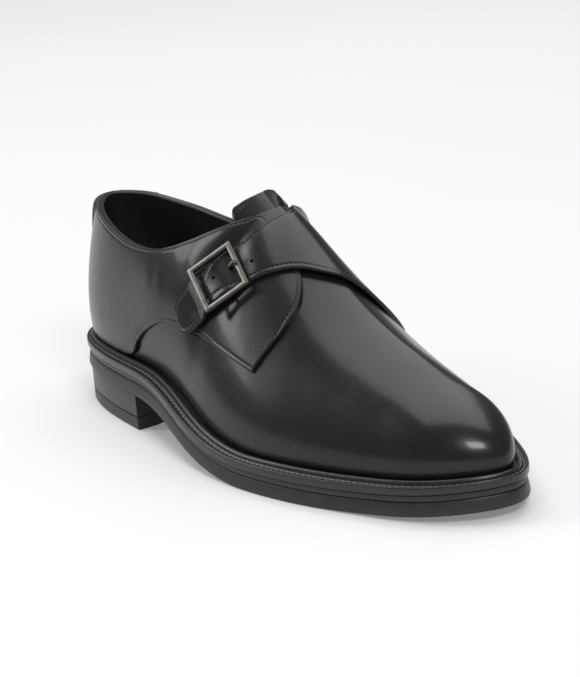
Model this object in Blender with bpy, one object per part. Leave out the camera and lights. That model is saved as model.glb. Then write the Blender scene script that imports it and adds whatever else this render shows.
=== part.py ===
"""Single monk-strap shoe for a right foot, EU size 42, standing empty on its sole.

Axes: +X from the heel to the toe, +Y to the inner side of the foot, +Z up.  The origin is
under the middle of the shoe, on the floor.  Tables are in millimetres and are turned into
metres when a mesh is made.

The upper is one smooth surface over the last.  A point on it is given by two numbers:
  place  0 at the toe tip to 1 at the middle of the heel, along the feather line, which is
         where the upper meets the welt; minus on the outer side, plus on the inner side
  girth  0 at the feather line to 1 on the ridge over the foot, or on the collar edge behind
         the throat
Walls, quarters and straps are all offsets of that one surface.
"""

import math

import bmesh
import bpy
import numpy as np
from mathutils import Vector

MM = 0.001
GAP = 0.3                 # clearance between two pieces that touch on the real shoe
WELD = 0.00002            # metres, for points that are the same point

# ---- sole unit -------------------------------------------------------------------------
HEEL_RISE = 18.0          # underside of the outsole above the floor at the heel
BREAST_X = 84.0           # front face of the heel
BREAST_HOLLOW = 4.5       # how far the heel's front face is hollowed
WAIST_END_X = 190.0       # the forepart's flat spot starts here
SPRING_START_X = 215.0    # and the toe spring starts here
TOE_SPRING = 5.5
OUTSOLE_THICK = 6.4
MIDSOLE_THICK = 2.8
WELT_THICK = 3.6
STACK = OUTSOLE_THICK + MIDSOLE_THICK + WELT_THICK + 2 * GAP
LIFT_THICK = 6.3
INSOLE_THICK = 4.2
INSOLE_REACH = 3.4        # the insole's edge inside the feather line
WELT_REACH_IN = 3.0       # the welt's inner edge inside the feather line
MIDSOLE_STEP = 1.0        # the midsole's edge stands back from the welt's
OUTSOLE_FLARE = 1.0       # the outsole's bottom edge stands out from its top edge

# Sole outline: half widths on the outer and inner side, and the welt's reach past the upper.
OUTLINE_COLUMNS = ("x", "outer", "inner", "reach")
OUTLINE = (
    (9.0, 27.5, 17.5, 5.5),
    (33.0, 41.5, 31.5, 6.5),
    (70.0, 48.3, 32.0, 7.5),
    (108.0, 52.5, 31.0, 8.0),
    (148.0, 60.0, 41.5, 8.0),
    (190.0, 59.5, 55.5, 7.5),
    (224.0, 52.3, 54.5, 8.0),
    (256.0, 41.2, 41.0, 7.6),
    (284.0, 26.8, 25.0, 7.0),
)
HEEL_BACK = (0.0, -4.5, 5.0)        # x, y, reach
TOE_TIP = (302.0, 4.0, 6.0)

# The origin, in the tables' millimetres: under the middle of the whole shoe.
ORIGIN_X = 149.99
ORIGIN_Y = -2.072

# Storm welt: a round bead along the upper, on the flat strip that is stitched.
BEAD_OUT = 3.3            # the bead's middle outside the feather line
BEAD_RADIUS = 1.1
BEAD_HEIGHT = 1.5

# Round lugs of the tread: each is a boss in a ring groove.
LUG_RADIUS = 6.6
LUG_GROOVE = 2.3
LUG_DEPTH = 1.4
LUG_SIDES = 12
LUG_COLUMNS = ("x", "y")
FOREPART_LUGS = (
    (157.0, -29.0), (157.0, -7.0), (157.0, 15.0),
    (186.0, -28.5), (186.0, -4.0), (186.0, 20.5),
    (214.0, -23.0), (214.0, 0.0), (214.0, 23.0),
    (241.0, -16.0), (241.0, 5.0), (241.0, 25.0),
    (266.0, -3.0), (266.0, 15.0),
)
HEEL_LUGS = ((62.0, -26.5), (62.0, 10.5), (40.0, -6.0))

# ---- upper -----------------------------------------------------------------------------
WALL = 2.0                # vamp and lining together
QUARTER_THICK = 1.25
LEATHER_GAP = 0.65        # between two curved layers of leather
STRAP_THICK = 2.1
STRAP_LIFT = 2.5          # the strap's underside over the base surface
BACK_STRIP_THICK = 1.1
TONGUE_THICK = 2.2
THROAT = 0.545            # place where the ridge ends and the collar begins

RIDGE_COLUMNS = ("x", "y", "z")    # the ridge over the toes and instep
RIDGE = (
    (148.0, 0.5, 110.0),
    (162.0, 1.0, 101.5),
    (178.0, 1.2, 90.6),
    (195.0, 1.4, 79.6),
    (210.0, 1.6, 71.0),
    (225.0, 2.0, 64.4),
    (245.0, 2.7, 57.0),
    (262.0, 3.5, 50.2),
)
RIDGE_PLACE_COLUMNS = ("place", "x")
RIDGE_PLACE = (
    (0.0, 262.0), (0.09, 259.0), (0.18, 247.0), (0.275, 226.0),
    (0.38, 197.0), (0.51, 158.0), (0.545, 148.0),
)
COLLAR_COLUMNS = ("place", "x", "y", "z")
COLLAR_OUTER = (
    (0.545, 148.0, 0.5, 110.0), (0.575, 142.5, -12.5, 106.5), (0.605, 133.0, -22.0, 102.0),
    (0.65, 116.0, -31.0, 94.5), (0.76, 80.0, -35.5, 88.0), (0.87, 38.0, -28.5, 93.5),
    (0.94, 16.5, -18.0, 96.5), (1.0, 6.5, -4.5, 97.0),
)
COLLAR_INNER = (
    (0.545, 148.0, 0.5, 110.0), (0.575, 142.5, 11.5, 106.0), (0.605, 133.0, 19.5, 101.0),
    (0.65, 116.0, 23.0, 93.0), (0.76, 80.0, 24.0, 86.0), (0.87, 38.0, 18.5, 91.0),
    (0.94, 16.5, 8.5, 95.5), (1.0, 6.5, -4.5, 97.0),
)
# Each section is one curve from the feather line to the ridge or collar: it leaves the
# feather line leaning outwards by lean over the length wall, and arrives at the top over
# the length crown, dipping below the level by dip.
SECTION_COLUMNS = ("place", "lean_deg", "wall", "dip_deg", "crown")
SECTIONS_OUTER = (
    (0.0, 18.0, 16.0, 0.0, 22.0), (0.09, 17.0, 17.0, 0.0, 22.0), (0.18, 14.0, 19.0, 0.0, 20.0),
    (0.275, 12.0, 22.0, 0.0, 23.0), (0.38, 10.0, 26.0, 0.0, 25.0), (0.51, 3.0, 30.0, 0.0, 24.0),
    (0.575, 0.0, 30.0, 22.0, 19.0), (0.65, 2.0, 24.0, 55.0, 18.0), (0.76, 4.0, 20.0, 76.0, 17.0),
    (0.87, 8.0, 20.0, 75.0, 20.0), (0.94, 12.0, 20.0, 74.0, 22.0), (1.0, 14.0, 22.0, 72.0, 22.0),
)
SECTIONS_INNER = (
    (0.0, 18.0, 16.0, 0.0, 22.0), (0.09, 15.0, 12.0, 0.0, 17.0), (0.18, 11.5, 13.5, 0.0, 11.0),
    (0.275, 8.0, 13.0, 0.0, 9.5), (0.38, 7.5, 20.0, 0.0, 12.5), (0.51, 9.0, 30.0, 0.0, 15.0),
    (0.575, 12.0, 30.0, 22.0, 17.0), (0.65, 14.0, 28.0, 55.0, 18.0), (0.76, 11.0, 22.0, 76.0, 17.0),
    (0.87, 9.0, 20.0, 75.0, 20.0), (0.94, 12.0, 20.0, 74.0, 22.0), (1.0, 14.0, 22.0, 72.0, 22.0),
)

# ---- overlays --------------------------------------------------------------------------
# Outer quarter, row by row from its front edge to the middle of the heel: the place and
# girth of its lower edge, then of its upper edge.
QUARTER_COLUMNS = ("low_place", "low_girth", "high_place", "high_girth")
OUTER_QUARTER = (
    (0.415, 0.383, 0.405, 0.58),
    (0.427, 0.379, 0.406, 0.66),
    (0.443, 0.373, 0.410, 0.728),
    (0.462, 0.365, 0.419, 0.777),
    (0.483, 0.354, 0.437, 0.828),
    (0.506, 0.342, 0.470, 0.855),
    (0.531, 0.331, 0.512, 0.869),
    (0.556, 0.327, 0.541, 0.885),
    (0.580, 0.339, 0.560, 0.925),
    (0.603, 0.355, 0.580, 0.960),
    (0.625, 0.371, 0.605, 0.985),
    (0.644, 0.376, 0.635, 0.995),
    (0.662, 0.360, 0.665, 0.995),
    (0.680, 0.323, 0.695, 0.995),
    (0.698, 0.267, 0.725, 0.995),
    (0.716, 0.175, 0.756, 0.995),
    (0.733, 0.060, 0.789, 0.995),
    (0.785, 0.03, 0.840, 0.995),
    (0.890, 0.03, 0.910, 0.995),
    (0.9994, 0.03, 0.9994, 0.995),
)
# Inner quarter with its strap, from the strap's tip to the middle of the heel.  Girth here
# runs on over the ridge: 1 to 2 is the inner side, from the ridge down to the feather line.
# lift is the clearance between the base surface and the strap's underside.
STRAP_COLUMNS = ("front_place", "front_girth", "rear_place", "rear_girth", "lift", "thick")
INNER_QUARTER = (
    (0.579, 0.322, 0.606, 0.440, STRAP_LIFT, 2.1),
    (0.560, 0.315, 0.606, 0.485, STRAP_LIFT, 2.1),
    (0.541, 0.358, 0.597, 0.538, STRAP_LIFT, 2.1),
    (0.524, 0.420, 0.586, 0.580, STRAP_LIFT, 2.1),
    (0.508, 0.490, 0.572, 0.612, STRAP_LIFT, 2.1),
    (0.493, 0.570, 0.553, 0.643, STRAP_LIFT, 2.1),
    (0.478, 0.655, 0.533, 0.695, STRAP_LIFT, 2.1),
    (0.463, 0.735, 0.523, 0.775, STRAP_LIFT, 2.1),
    (0.443, 0.835, 0.520, 0.870, STRAP_LIFT, 2.1),
    (0.419, 0.925, 0.521, 0.950, 2.2, 2.0),
    (0.395, 1.040, 0.525, 1.025, 1.8, 1.8),
    (0.374, 1.200, 0.538, 1.070, 1.8, 1.6),
    (0.366, 1.400, 0.575, 1.070, 1.8, 1.4),
    (0.388, 1.600, 0.635, 1.040, 1.8, 1.3),
    (0.470, 1.680, 0.720, 1.010, 1.5, 1.3),
    (0.600, 1.640, 0.800, 1.005, 1.1, 1.25),
    (0.710, 1.710, 0.865, 1.005, LEATHER_GAP, 1.25),
    (0.785, 1.970, 0.920, 1.005, LEATHER_GAP, 1.25),
    (0.9994, 1.970, 0.9994, 1.005, LEATHER_GAP, 1.25),
)
STRAP_AT_BUCKLE = (3.0, 5.6)       # rows of the table that lie flat under the buckle
STRAP_FLAT_LIFT = 4.2     # the strap's underside above the buckle's plane
STRAP_FLAT_REACH = 13.5   # half length of the flat stretch
STRAP_BULGE = 2.1         # the strap's rise over the buckle's middle bar
STRAP_BULGE_REACH = 6.0   # half length of that rise
STRAP_COLUMNS_ACROSS = 9
SLOT = (4.4, 8.6)         # the prong's slot along the strap; it is one grid column wide
SLOT_COLUMN = 3           # which column that is, from the strap's front edge
SLOT_SHARE = (SLOT_COLUMN + 0.5) / STRAP_COLUMNS_ACROSS
SLOT_WIDEN = 0.05         # and that column is wider by twice this share of the strap
BACK_STRIP_LIFT = 2.4
BACK_STRIP_COLUMNS = ("girth", "half_width")
BACK_STRIP = ((0.05, 11.5), (0.3, 11.0), (0.6, 12.0), (0.85, 17.0), (0.985, 25.0))

# ---- tongue ----------------------------------------------------------------------------
TONGUE_TUCK = 0.43        # place where the tongue starts, under the vamp
TONGUE_GIRTH = 0.62       # the girth at its side edges
TONGUE_DROP = 1.75         # clearance between the lining and the tongue
TONGUE_RISE = 15.6        # its middle's length past the throat
TONGUE_SLOPE = 0.7        # rise over run past the throat
TONGUE_WING = 0.15        # how much further it runs towards its sides
TONGUE_SKEW = 0.15        # how much further it runs on the inner side than on the outer
TONGUE_FLATTEN = 0.58      # how much of its arch is gone at its end
TONGUE_CORNER = 0.4      # how much of that the round corners take off
TONGUE_OUTER_SPREAD = -0.25    # how much wider that side of its top edge is than the throat
TONGUE_INNER_SPREAD = 0.05

# ---- buckle ----------------------------------------------------------------------------
BUCKLE_LONG = 24.0        # along the strap
BUCKLE_WIDE = 25.2        # across it
BUCKLE_BAR = 2.4
BUCKLE_SHIFT = (-0.2, -3.4)    # its middle from the strap's, along and across the strap
BUCKLE_TURN_DEG = 5.5     # its turn from the strap's own line, in its plane
BUCKLE_DIP_DEG = 7.5      # its front bar sits closer to the foot by this angle
BUCKLE_THICK = 1.9
BUCKLE_LIFT = STRAP_FLAT_LIFT + STRAP_THICK + 2.15      # middle of the frame over its plane
MIDDLE_BAR_RADIUS = 0.8
MIDDLE_BAR_LIFT = STRAP_FLAT_LIFT + 0.9
PRONG_RADIUS = 0.75


# ---- curves and tables -----------------------------------------------------------------
def smooth_table(rows, value):
    """Smooth reading of a table whose first column is rising; value may be an array."""
    table = np.asarray(rows, float)
    keys = table[:, 0]
    data = table[:, 1:]
    at = np.clip(np.asarray(value, float), keys[0], keys[-1])
    step = np.diff(keys)
    slope = np.diff(data, axis=0) / step[:, None]
    tangent = np.empty_like(data)
    weight = step[1:] + step[:-1]
    tangent[1:-1] = (slope[:-1] * step[1:, None] + slope[1:] * step[:-1, None]) / weight[:, None]
    tangent[0] = 1.5 * slope[0] - 0.5 * tangent[1]
    tangent[-1] = 1.5 * slope[-1] - 0.5 * tangent[-2]
    k = np.clip(np.searchsorted(keys, at, side="right") - 1, 0, len(step) - 1)
    t = ((at - keys[k]) / step[k])[..., None]
    h = step[k][..., None]
    start = (1 + 2 * t) * (1 - t) ** 2 * data[k] + t * (1 - t) ** 2 * h * tangent[k]
    end = t * t * (3 - 2 * t) * data[k + 1] + t * t * (t - 1) * h * tangent[k + 1]
    return start + end


def even_ends(rows, flip_column=None):
    """The table with two rows mirrored past place 0 and place 1, so it is level there."""
    table = np.asarray(rows, float)
    before = table[1:3][::-1].copy()
    before[:, 0] *= -1
    after = table[-3:-1][::-1].copy()
    after[:, 0] = 2 - after[:, 0]
    if flip_column is not None:
        after[:, flip_column] = 2 * HEEL_BACK[1] - after[:, flip_column]
    return np.vstack([before, table, after])


def closed_curve(points, steps):
    """Smooth closed curve through the points, with steps samples between neighbours."""
    p = np.asarray(points, float)
    count = len(p)
    ahead = np.roll(p, -1, 0)
    h = np.linalg.norm(ahead[:, :2] - p[:, :2], axis=1) ** 0.7
    matrix = np.zeros((count, count))
    target = np.zeros_like(p)
    for i in range(count):
        before, after = h[i - 1], h[i]
        matrix[i, i - 1] += after
        matrix[i, i] += 2 * (before + after)
        matrix[i, (i + 1) % count] += before
        target[i] = 3 * (after * (p[i] - p[i - 1]) / before + before * (ahead[i] - p[i]) / after)
    tangent = np.linalg.solve(matrix, target)
    t = np.linspace(0, 1, steps, endpoint=False)[:, None]
    pieces = []
    for i in range(count):
        j = (i + 1) % count
        start = (1 + 2 * t) * (1 - t) ** 2 * p[i] + t * (1 - t) ** 2 * h[i] * tangent[i]
        end = t * t * (3 - 2 * t) * p[j] + t * t * (t - 1) * h[i] * tangent[j]
        pieces.append(start + end)
    return np.vstack(pieces)


def outward_normals(curve):
    """Unit normals of a closed flat curve that runs heel, outer side, toe, inner side."""
    along = np.roll(curve, -1, 0) - np.roll(curve, 1, 0)
    normal = np.stack([along[:, 1], -along[:, 0]], 1)
    return normal / np.linalg.norm(normal, axis=1)[:, None]


def sole_curve():
    """The sole's outline, its outward normals and the welt's reach, as closed curves."""
    outer = [(x, -outer_y, reach) for x, outer_y, inner_y, reach in OUTLINE]
    inner = [(x, inner_y, reach) for x, outer_y, inner_y, reach in OUTLINE]
    nodes = [HEEL_BACK] + outer + [TOE_TIP] + inner[::-1]
    curve = closed_curve(nodes, 40)
    return curve[:, :2], outward_normals(curve[:, :2]), curve[:, 2]


SOLE_LINE, SOLE_NORMAL, WELT_REACH = sole_curve()
FEATHER_LINE = SOLE_LINE - SOLE_NORMAL * WELT_REACH[:, None]
FEATHER_NORMAL = outward_normals(FEATHER_LINE)


def feather_side(sign):
    """One side of the feather line from the toe tip to the heel: share, points, normals."""
    count = len(FEATHER_LINE)
    tip = int(np.argmax(FEATHER_LINE[:, 0]))
    back = int(np.argmin(FEATHER_LINE[:, 0]))
    if sign < 0:
        order = np.arange(tip, back - (back > tip) * count - 1, -1) % count
    else:
        order = np.arange(tip, back + (back < tip) * count + 1) % count
    points = FEATHER_LINE[order]
    run = np.r_[0, np.cumsum(np.linalg.norm(np.diff(points, axis=0), axis=1))]
    return run / run[-1], points, FEATHER_NORMAL[order]


FEATHER = {-1: feather_side(-1), 1: feather_side(1)}


def sole_bottom(x):
    """Height of the outsole's underside: heel, waist, flat tread, toe spring."""
    x = np.asarray(x, float)
    waist = np.clip((WAIST_END_X - x) / (WAIST_END_X - BREAST_X), 0, 1)
    spring = np.clip((x - SPRING_START_X) / (TOE_TIP[0] - SPRING_START_X), 0, 1.05)
    return HEEL_RISE * (0.5 - 0.5 * np.cos(math.pi * waist)) + TOE_SPRING * spring ** 2


def ridge(x):
    """Point on the ridge and its slope in the XZ plane."""
    yz = smooth_table(RIDGE, x)
    low = np.clip(x - 0.5, RIDGE[0][0], RIDGE[-1][0])
    high = np.clip(x + 0.5, RIDGE[0][0], RIDGE[-1][0])
    slope = (smooth_table(RIDGE, high)[..., 1] - smooth_table(RIDGE, low)[..., 1]) / (high - low)
    return np.concatenate([np.asarray(x)[..., None], yz], -1), slope


# ---- the upper's surface ---------------------------------------------------------------
# The sections' tops turn a corner at the throat, so below the edge they follow its average
# over these steps of place.
THROAT_EASE = ((-0.018, 1 / 9), (-0.009, 2 / 9), (0.0, 3 / 9), (0.009, 2 / 9), (0.018, 1 / 9))


def top_line(sign, place):
    """The line where the sections end, ridge and then collar, and the ridge's slope."""
    mirrored = 1 - np.abs(1 - np.abs(place))
    ridge_x = smooth_table(even_ends(RIDGE_PLACE)[:-2], np.minimum(mirrored, THROAT))[..., 0]
    ridge_point, slope = ridge(ridge_x)
    edge_sign = np.where(place > 1, -sign, sign)
    outer = smooth_table(even_ends(COLLAR_OUTER, flip_column=2)[2:], np.maximum(mirrored, THROAT))
    inner = smooth_table(even_ends(COLLAR_INNER, flip_column=2)[2:], np.maximum(mirrored, THROAT))
    collar_point = np.where((edge_sign < 0)[..., None], outer, inner)
    return np.where((mirrored <= THROAT)[..., None], ridge_point, collar_point), slope


def side_surface(sign, place, girth):
    """Points of the base surface on one side, place from 0 to 1."""
    share, points, normals = FEATHER[sign]
    flat = np.stack([np.interp(place, share, points[:, k]) for k in (0, 1)], -1)
    out = np.stack([np.interp(place, share, normals[:, k]) for k in (0, 1)], -1)
    out = out / np.linalg.norm(out, axis=-1)[..., None]
    out = np.concatenate([out, np.zeros_like(out[..., :1])], -1)
    floor = sole_bottom(flat[..., 0]) + STACK + GAP
    foot = np.concatenate([flat, floor[..., None]], -1)
    top, slope = top_line(sign, place)
    eased = sum(w * top_line(sign, place + d)[0] for d, w in THROAT_EASE)
    shape = smooth_table(even_ends(SECTIONS_OUTER if sign < 0 else SECTIONS_INNER), place)
    lean = np.radians(shape[..., 0])[..., None]
    dip = np.radians(np.clip(shape[..., 2], 0, 90))[..., None]
    up = np.array([0.0, 0.0, 1.0])
    low = foot + shape[..., 1:2] * (np.sin(lean) * out + np.cos(lean) * up)
    fade = np.clip((0.64 - place) / 0.13, 0, 1)
    fade = fade * fade * (3 - 2 * fade)
    along = out + (out[..., 0] * slope * fade)[..., None] * up
    along = along / np.linalg.norm(along, axis=-1)[..., None]
    high = eased + shape[..., 3:4] * (np.cos(dip) * along - np.sin(dip) * up)
    b = girth[..., None]
    a = 1 - b
    section = a ** 3 * foot + 3 * a * a * b * low + 3 * a * b * b * high + b ** 3 * eased
    return section + b ** 14 * (top - eased)


def base_surface(place, girth):
    """Points of the base surface; place is signed and may pass -1, 0 or 1, and girth may
    pass 1 in front of the throat, where it runs on down the other side."""
    place, girth = np.broadcast_arrays(np.asarray(place, float), np.asarray(girth, float))
    place = (place + 1) % 2 - 1
    over = (girth > 1) & (np.abs(place) <= THROAT + 1e-9)
    place = np.where(over, -place, place)
    girth = np.where(over, 2 - girth, girth)
    size = np.abs(place)
    outer = side_surface(-1, size, girth)
    inner = side_surface(1, size, girth)
    return np.where((place < 0)[..., None], outer, inner)


def upper_point(place, girth, offset):
    """Point at a distance offset outside the base surface (inside it when negative)."""
    place, girth = np.broadcast_arrays(np.asarray(place, float), np.asarray(girth, float))
    e = 0.002
    d_place = base_surface(place + e, girth) - base_surface(place - e, girth)
    d_girth = base_surface(place, girth + e) - base_surface(place, girth - e)
    normal = np.cross(d_place, d_girth)
    normal = normal / np.linalg.norm(normal, axis=-1)[..., None]
    offset = np.asarray(offset, float)[..., None]
    return base_surface(place, girth) + offset * normal


def over_ridge(place, girth, offset):
    """Like upper_point, with place from 0 to 1 and girth 0 to 2 from the outer feather line
    over the ridge to the inner feather line."""
    inner = girth > 1
    return upper_point(np.where(inner, place, -place), np.where(inner, 2 - girth, girth), offset)


# ---- meshes ----------------------------------------------------------------------------
def to_metres(points):
    """Millimetre points of the tables to metres about the shoe's own origin."""
    return (np.asarray(points, float) - np.array([ORIGIN_X, ORIGIN_Y, 0.0])) * MM


def material(name, colour, roughness, metallic=0.0):
    """A Principled material."""
    made = bpy.data.materials.new(name)
    made.use_nodes = True
    shader = made.node_tree.nodes["Principled BSDF"]
    shader.inputs["Base Color"].default_value = (*colour, 1.0)
    shader.inputs["Roughness"].default_value = roughness
    shader.inputs["Metallic"].default_value = metallic
    return made


def new_object(name, bm, collection, finish):
    """Turn a bmesh into a named object with its material."""
    bmesh.ops.remove_doubles(bm, verts=bm.verts, dist=WELD)
    bmesh.ops.triangulate(bm, faces=bm.faces)
    bmesh.ops.recalc_face_normals(bm, faces=bm.faces)
    mesh = bpy.data.meshes.new(name)
    bm.to_mesh(mesh)
    bm.free()
    made = bpy.data.objects.new(name, mesh)
    made.data.materials.append(finish)
    collection.objects.link(made)
    mesh.shade_smooth()
    mesh.set_sharp_from_angle(angle=math.radians(35))
    return made


def add_grid(bm, grid, flip=False, close_rows=False):
    """Quads over a grid of points in millimetres; returns the vertices row by row."""
    made = [[bm.verts.new(Vector(p)) for p in row] for row in to_metres(grid)]
    rows = len(made)
    for i in range(rows if close_rows else rows - 1):
        here, there = made[i], made[(i + 1) % rows]
        for j in range(len(here) - 1):
            corners = (here[j], here[j + 1], there[j + 1], there[j])
            bm.faces.new(corners[::-1] if flip else corners)
    return made


def closed_sheet(bm, first, second, hole=None):
    """A closed solid between two grids of the same shape.  hole is (row, row, column): the
    cells of that column between the two rows are left out, right through the solid."""
    low = add_grid(bm, first)
    high = add_grid(bm, second, flip=True)
    edge_pairs = []
    if hole is not None:
        start, end, k = hole
        for side in (low, high):
            for i in range(start, end):
                cell = {side[i][k], side[i][k + 1], side[i + 1][k], side[i + 1][k + 1]}
                face = next(f for f in side[i][k].link_faces if set(f.verts) == cell)
                bm.faces.remove(face)
            for i in range(start + 1, end):
                bm.edges.remove(bm.edges.get((side[i][k], side[i][k + 1])))
        for i in (start, end):
            edge_pairs.append((low[i][k], low[i][k + 1], high[i][k], high[i][k + 1]))
        for i in range(start, end):
            for j in (k, k + 1):
                edge_pairs.append((low[i][j], low[i + 1][j], high[i][j], high[i + 1][j]))
    for j in range(len(low[0]) - 1):
        edge_pairs.append((low[0][j], low[0][j + 1], high[0][j], high[0][j + 1]))
        edge_pairs.append((low[-1][j], low[-1][j + 1], high[-1][j], high[-1][j + 1]))
    for i in range(len(low) - 1):
        edge_pairs.append((low[i][0], low[i + 1][0], high[i][0], high[i + 1][0]))
        edge_pairs.append((low[i][-1], low[i + 1][-1], high[i][-1], high[i + 1][-1]))
    for a, b, c, d in edge_pairs:
        bm.faces.new((a, b, d, c))


def ring_solid(bm, section_of, count):
    """A closed ring swept round the outline: section_of(i) gives each section's points."""
    rows = np.array([section_of(i) for i in range(count)])
    rows = np.concatenate([rows, rows[:, :1]], 1)
    add_grid(bm, rows, close_rows=True)


# ---- sole pieces -----------------------------------------------------------------------
STATIONS = 30             # cross lines of a sole piece


def side_crossings(inset, x_values):
    """Where the sole outline, moved in by inset, crosses each x on its two sides."""
    line = SOLE_LINE - SOLE_NORMAL * np.asarray(inset)[..., None]
    tip = int(np.argmax(line[:, 0]))
    back = int(np.argmin(line[:, 0]))
    line = np.roll(line, -back, 0)
    tip = (tip - back) % len(line)
    outer = line[:tip + 1]
    inner = np.vstack([line[tip:], line[:1]])[::-1]
    outer_y = np.interp(x_values, outer[:, 0], outer[:, 1])
    inner_y = np.interp(x_values, inner[:, 0], inner[:, 1])
    return outer_y, inner_y


def sole_grid(inset, height, x_to=None, hollow=0.0, across=1, stations=STATIONS):
    """Grid over the sole inside the outline; height(x) gives z.  hollow bends the front
    edge back in its middle."""
    line = SOLE_LINE - SOLE_NORMAL * np.asarray(inset)[..., None]
    start = line[:, 0].min()
    end = line[:, 0].max() if x_to is None else x_to
    u = np.linspace(0, 1, stations + 1)
    round_both = 0.5 - 0.5 * np.cos(math.pi * u)
    round_back = 1 - np.cos(0.5 * math.pi * u)
    share = 0.75 * round_both + 0.25 * u if x_to is None else 0.8 * round_back + 0.2 * u
    x = start + (end - start) * share
    outer_y, inner_y = side_crossings(inset, x)
    w = np.linspace(0, 1, across + 1)
    y = outer_y[:, None] * (1 - w) + inner_y[:, None] * w
    bend = hollow * 4 * w * (1 - w)
    grid_x = x[:, None] - bend[None, :] * (share ** 2)[:, None]
    return np.stack([grid_x, y, height(grid_x)], -1)


def make_sole_layer(name, collection, finish, bottom, top):
    """A sole layer between two grids."""
    bm = bmesh.new()
    closed_sheet(bm, bottom, top)
    return new_object(name, bm, collection, finish)


def lug_cutter(name, spots, height, collection):
    """Ring grooves around the lugs, all in one cutter."""
    bm = bmesh.new()
    inside, outside = LUG_RADIUS, LUG_RADIUS + LUG_GROOVE
    for x, y in spots:
        z = float(height(x))
        rings = []
        for radius, level in ((inside, z - 2), (outside, z - 2), (outside, z + LUG_DEPTH),
                              (inside, z + LUG_DEPTH)):
            ring = []
            for k in range(LUG_SIDES):
                angle = 2 * math.pi * k / LUG_SIDES
                ring.append((x + radius * math.cos(angle), y + radius * math.sin(angle), level))
            rings.append(ring)
        turned = np.array(rings).transpose(1, 0, 2)
        turned = np.concatenate([turned, turned[:, :1]], 1)
        add_grid(bm, turned, close_rows=True)
    bmesh.ops.remove_doubles(bm, verts=bm.verts, dist=WELD)
    bmesh.ops.recalc_face_normals(bm, faces=bm.faces)
    mesh = bpy.data.meshes.new(name)
    bm.to_mesh(mesh)
    bm.free()
    cutter = bpy.data.objects.new(name, mesh)
    cutter.display_type = "WIRE"
    cutter.hide_render = True
    collection.objects.link(cutter)
    return cutter


def cut(target, cutter, operation="DIFFERENCE"):
    """Boolean with the exact solver, on flat triangles."""
    bm = bmesh.new()
    bm.from_mesh(target.data)
    bmesh.ops.triangulate(bm, faces=bm.faces)
    bm.to_mesh(target.data)
    bm.free()
    modifier = target.modifiers.new("Cut " + cutter.name, "BOOLEAN")
    modifier.operation = operation
    modifier.solver = "EXACT"
    modifier.object = cutter


def make_soles(parts, cutters, rubber, leather):
    """Outsole, midsole, welt, insole, heel block and top lift."""
    level = GAP + OUTSOLE_THICK
    outsole = make_sole_layer(
        "outsole", parts, rubber,
        sole_grid(0.0, sole_bottom),
        sole_grid(OUTSOLE_FLARE, lambda x: sole_bottom(x) + OUTSOLE_THICK))
    cut(outsole, lug_cutter("forepart_lug_grooves", FOREPART_LUGS, sole_bottom, cutters))
    make_sole_layer(
        "midsole", parts, rubber,
        sole_grid(MIDSOLE_STEP, lambda x: sole_bottom(x) + level),
        sole_grid(MIDSOLE_STEP, lambda x: sole_bottom(x) + level + MIDSOLE_THICK))
    level += MIDSOLE_THICK + GAP
    make_welt(parts, rubber, level)
    insole_inset = WELT_REACH + INSOLE_REACH
    make_sole_layer(
        "insole", parts, leather,
        sole_grid(insole_inset, lambda x: sole_bottom(x) + level),
        sole_grid(insole_inset, lambda x: sole_bottom(x) + level + INSOLE_THICK))
    heel_top = HEEL_RISE - GAP
    flat = np.zeros_like
    lift = make_sole_layer(
        "heel_top_lift", parts, rubber,
        sole_grid(OUTSOLE_FLARE, flat, x_to=BREAST_X, hollow=BREAST_HOLLOW, across=4, stations=15),
        sole_grid(OUTSOLE_FLARE, lambda x: flat(x) + LIFT_THICK,
                  x_to=BREAST_X, hollow=BREAST_HOLLOW, across=4, stations=15))
    cut(lift, lug_cutter("heel_lug_grooves", HEEL_LUGS, flat, cutters))
    make_sole_layer(
        "heel_block", parts, rubber,
        sole_grid(OUTSOLE_FLARE, lambda x: flat(x) + LIFT_THICK + GAP,
                  x_to=BREAST_X, hollow=BREAST_HOLLOW, across=4, stations=15),
        sole_grid(OUTSOLE_FLARE, lambda x: flat(x) + heel_top,
                  x_to=BREAST_X, hollow=BREAST_HOLLOW, across=4, stations=15))


def make_welt(parts, finish, level):
    """The storm welt: a flat strip with a round bead along the upper."""
    picks = welt_samples(76)
    bead = [(BEAD_OUT + BEAD_RADIUS * math.cos(a), BEAD_HEIGHT * math.sin(a))
            for a in np.radians((180.0, 135.0, 90.0, 45.0, 0.0))]

    def section(k):
        i = picks[k]
        centre, normal, reach = FEATHER_LINE[i], SOLE_NORMAL[i], WELT_REACH[i]
        flat = [(-WELT_REACH_IN, 0.0), (reach, 0.0), (reach, WELT_THICK)]
        flat += [(out, WELT_THICK + up) for out, up in bead[::-1]]
        flat += [(-WELT_REACH_IN, WELT_THICK)]
        points = []
        for out, up in flat:
            x, y = centre + normal * out
            points.append((x, y, float(sole_bottom(x)) + level + up))
        return points

    bm = bmesh.new()
    ring_solid(bm, section, len(picks))
    return new_object("welt", bm, parts, finish)


def welt_samples(count):
    """Indices on the closed outline, closer together where it turns."""
    ahead = np.roll(SOLE_LINE, -1, 0) - SOLE_LINE
    length = np.linalg.norm(ahead, axis=1)
    angle = np.arctan2(ahead[:, 1], ahead[:, 0])
    turn = np.abs((np.roll(angle, -1) - angle + math.pi) % (2 * math.pi) - math.pi)
    weight = np.cumsum(length + 60.0 * turn)
    targets = np.linspace(0, weight[-1], count, endpoint=False)
    return np.unique(np.searchsorted(weight, targets))


# ---- upper pieces ----------------------------------------------------------------------
def shell_places():
    """Places of the shell's sections, closer together at the toe and at the heel."""
    front = THROAT * np.linspace(0, 1, 15) ** 1.15
    u = np.linspace(0, 1, 17)[1:]
    rear = THROAT + (1 - THROAT) * (0.65 * u + 0.35 * np.sin(0.5 * math.pi * u))
    return np.r_[front, rear]


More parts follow.
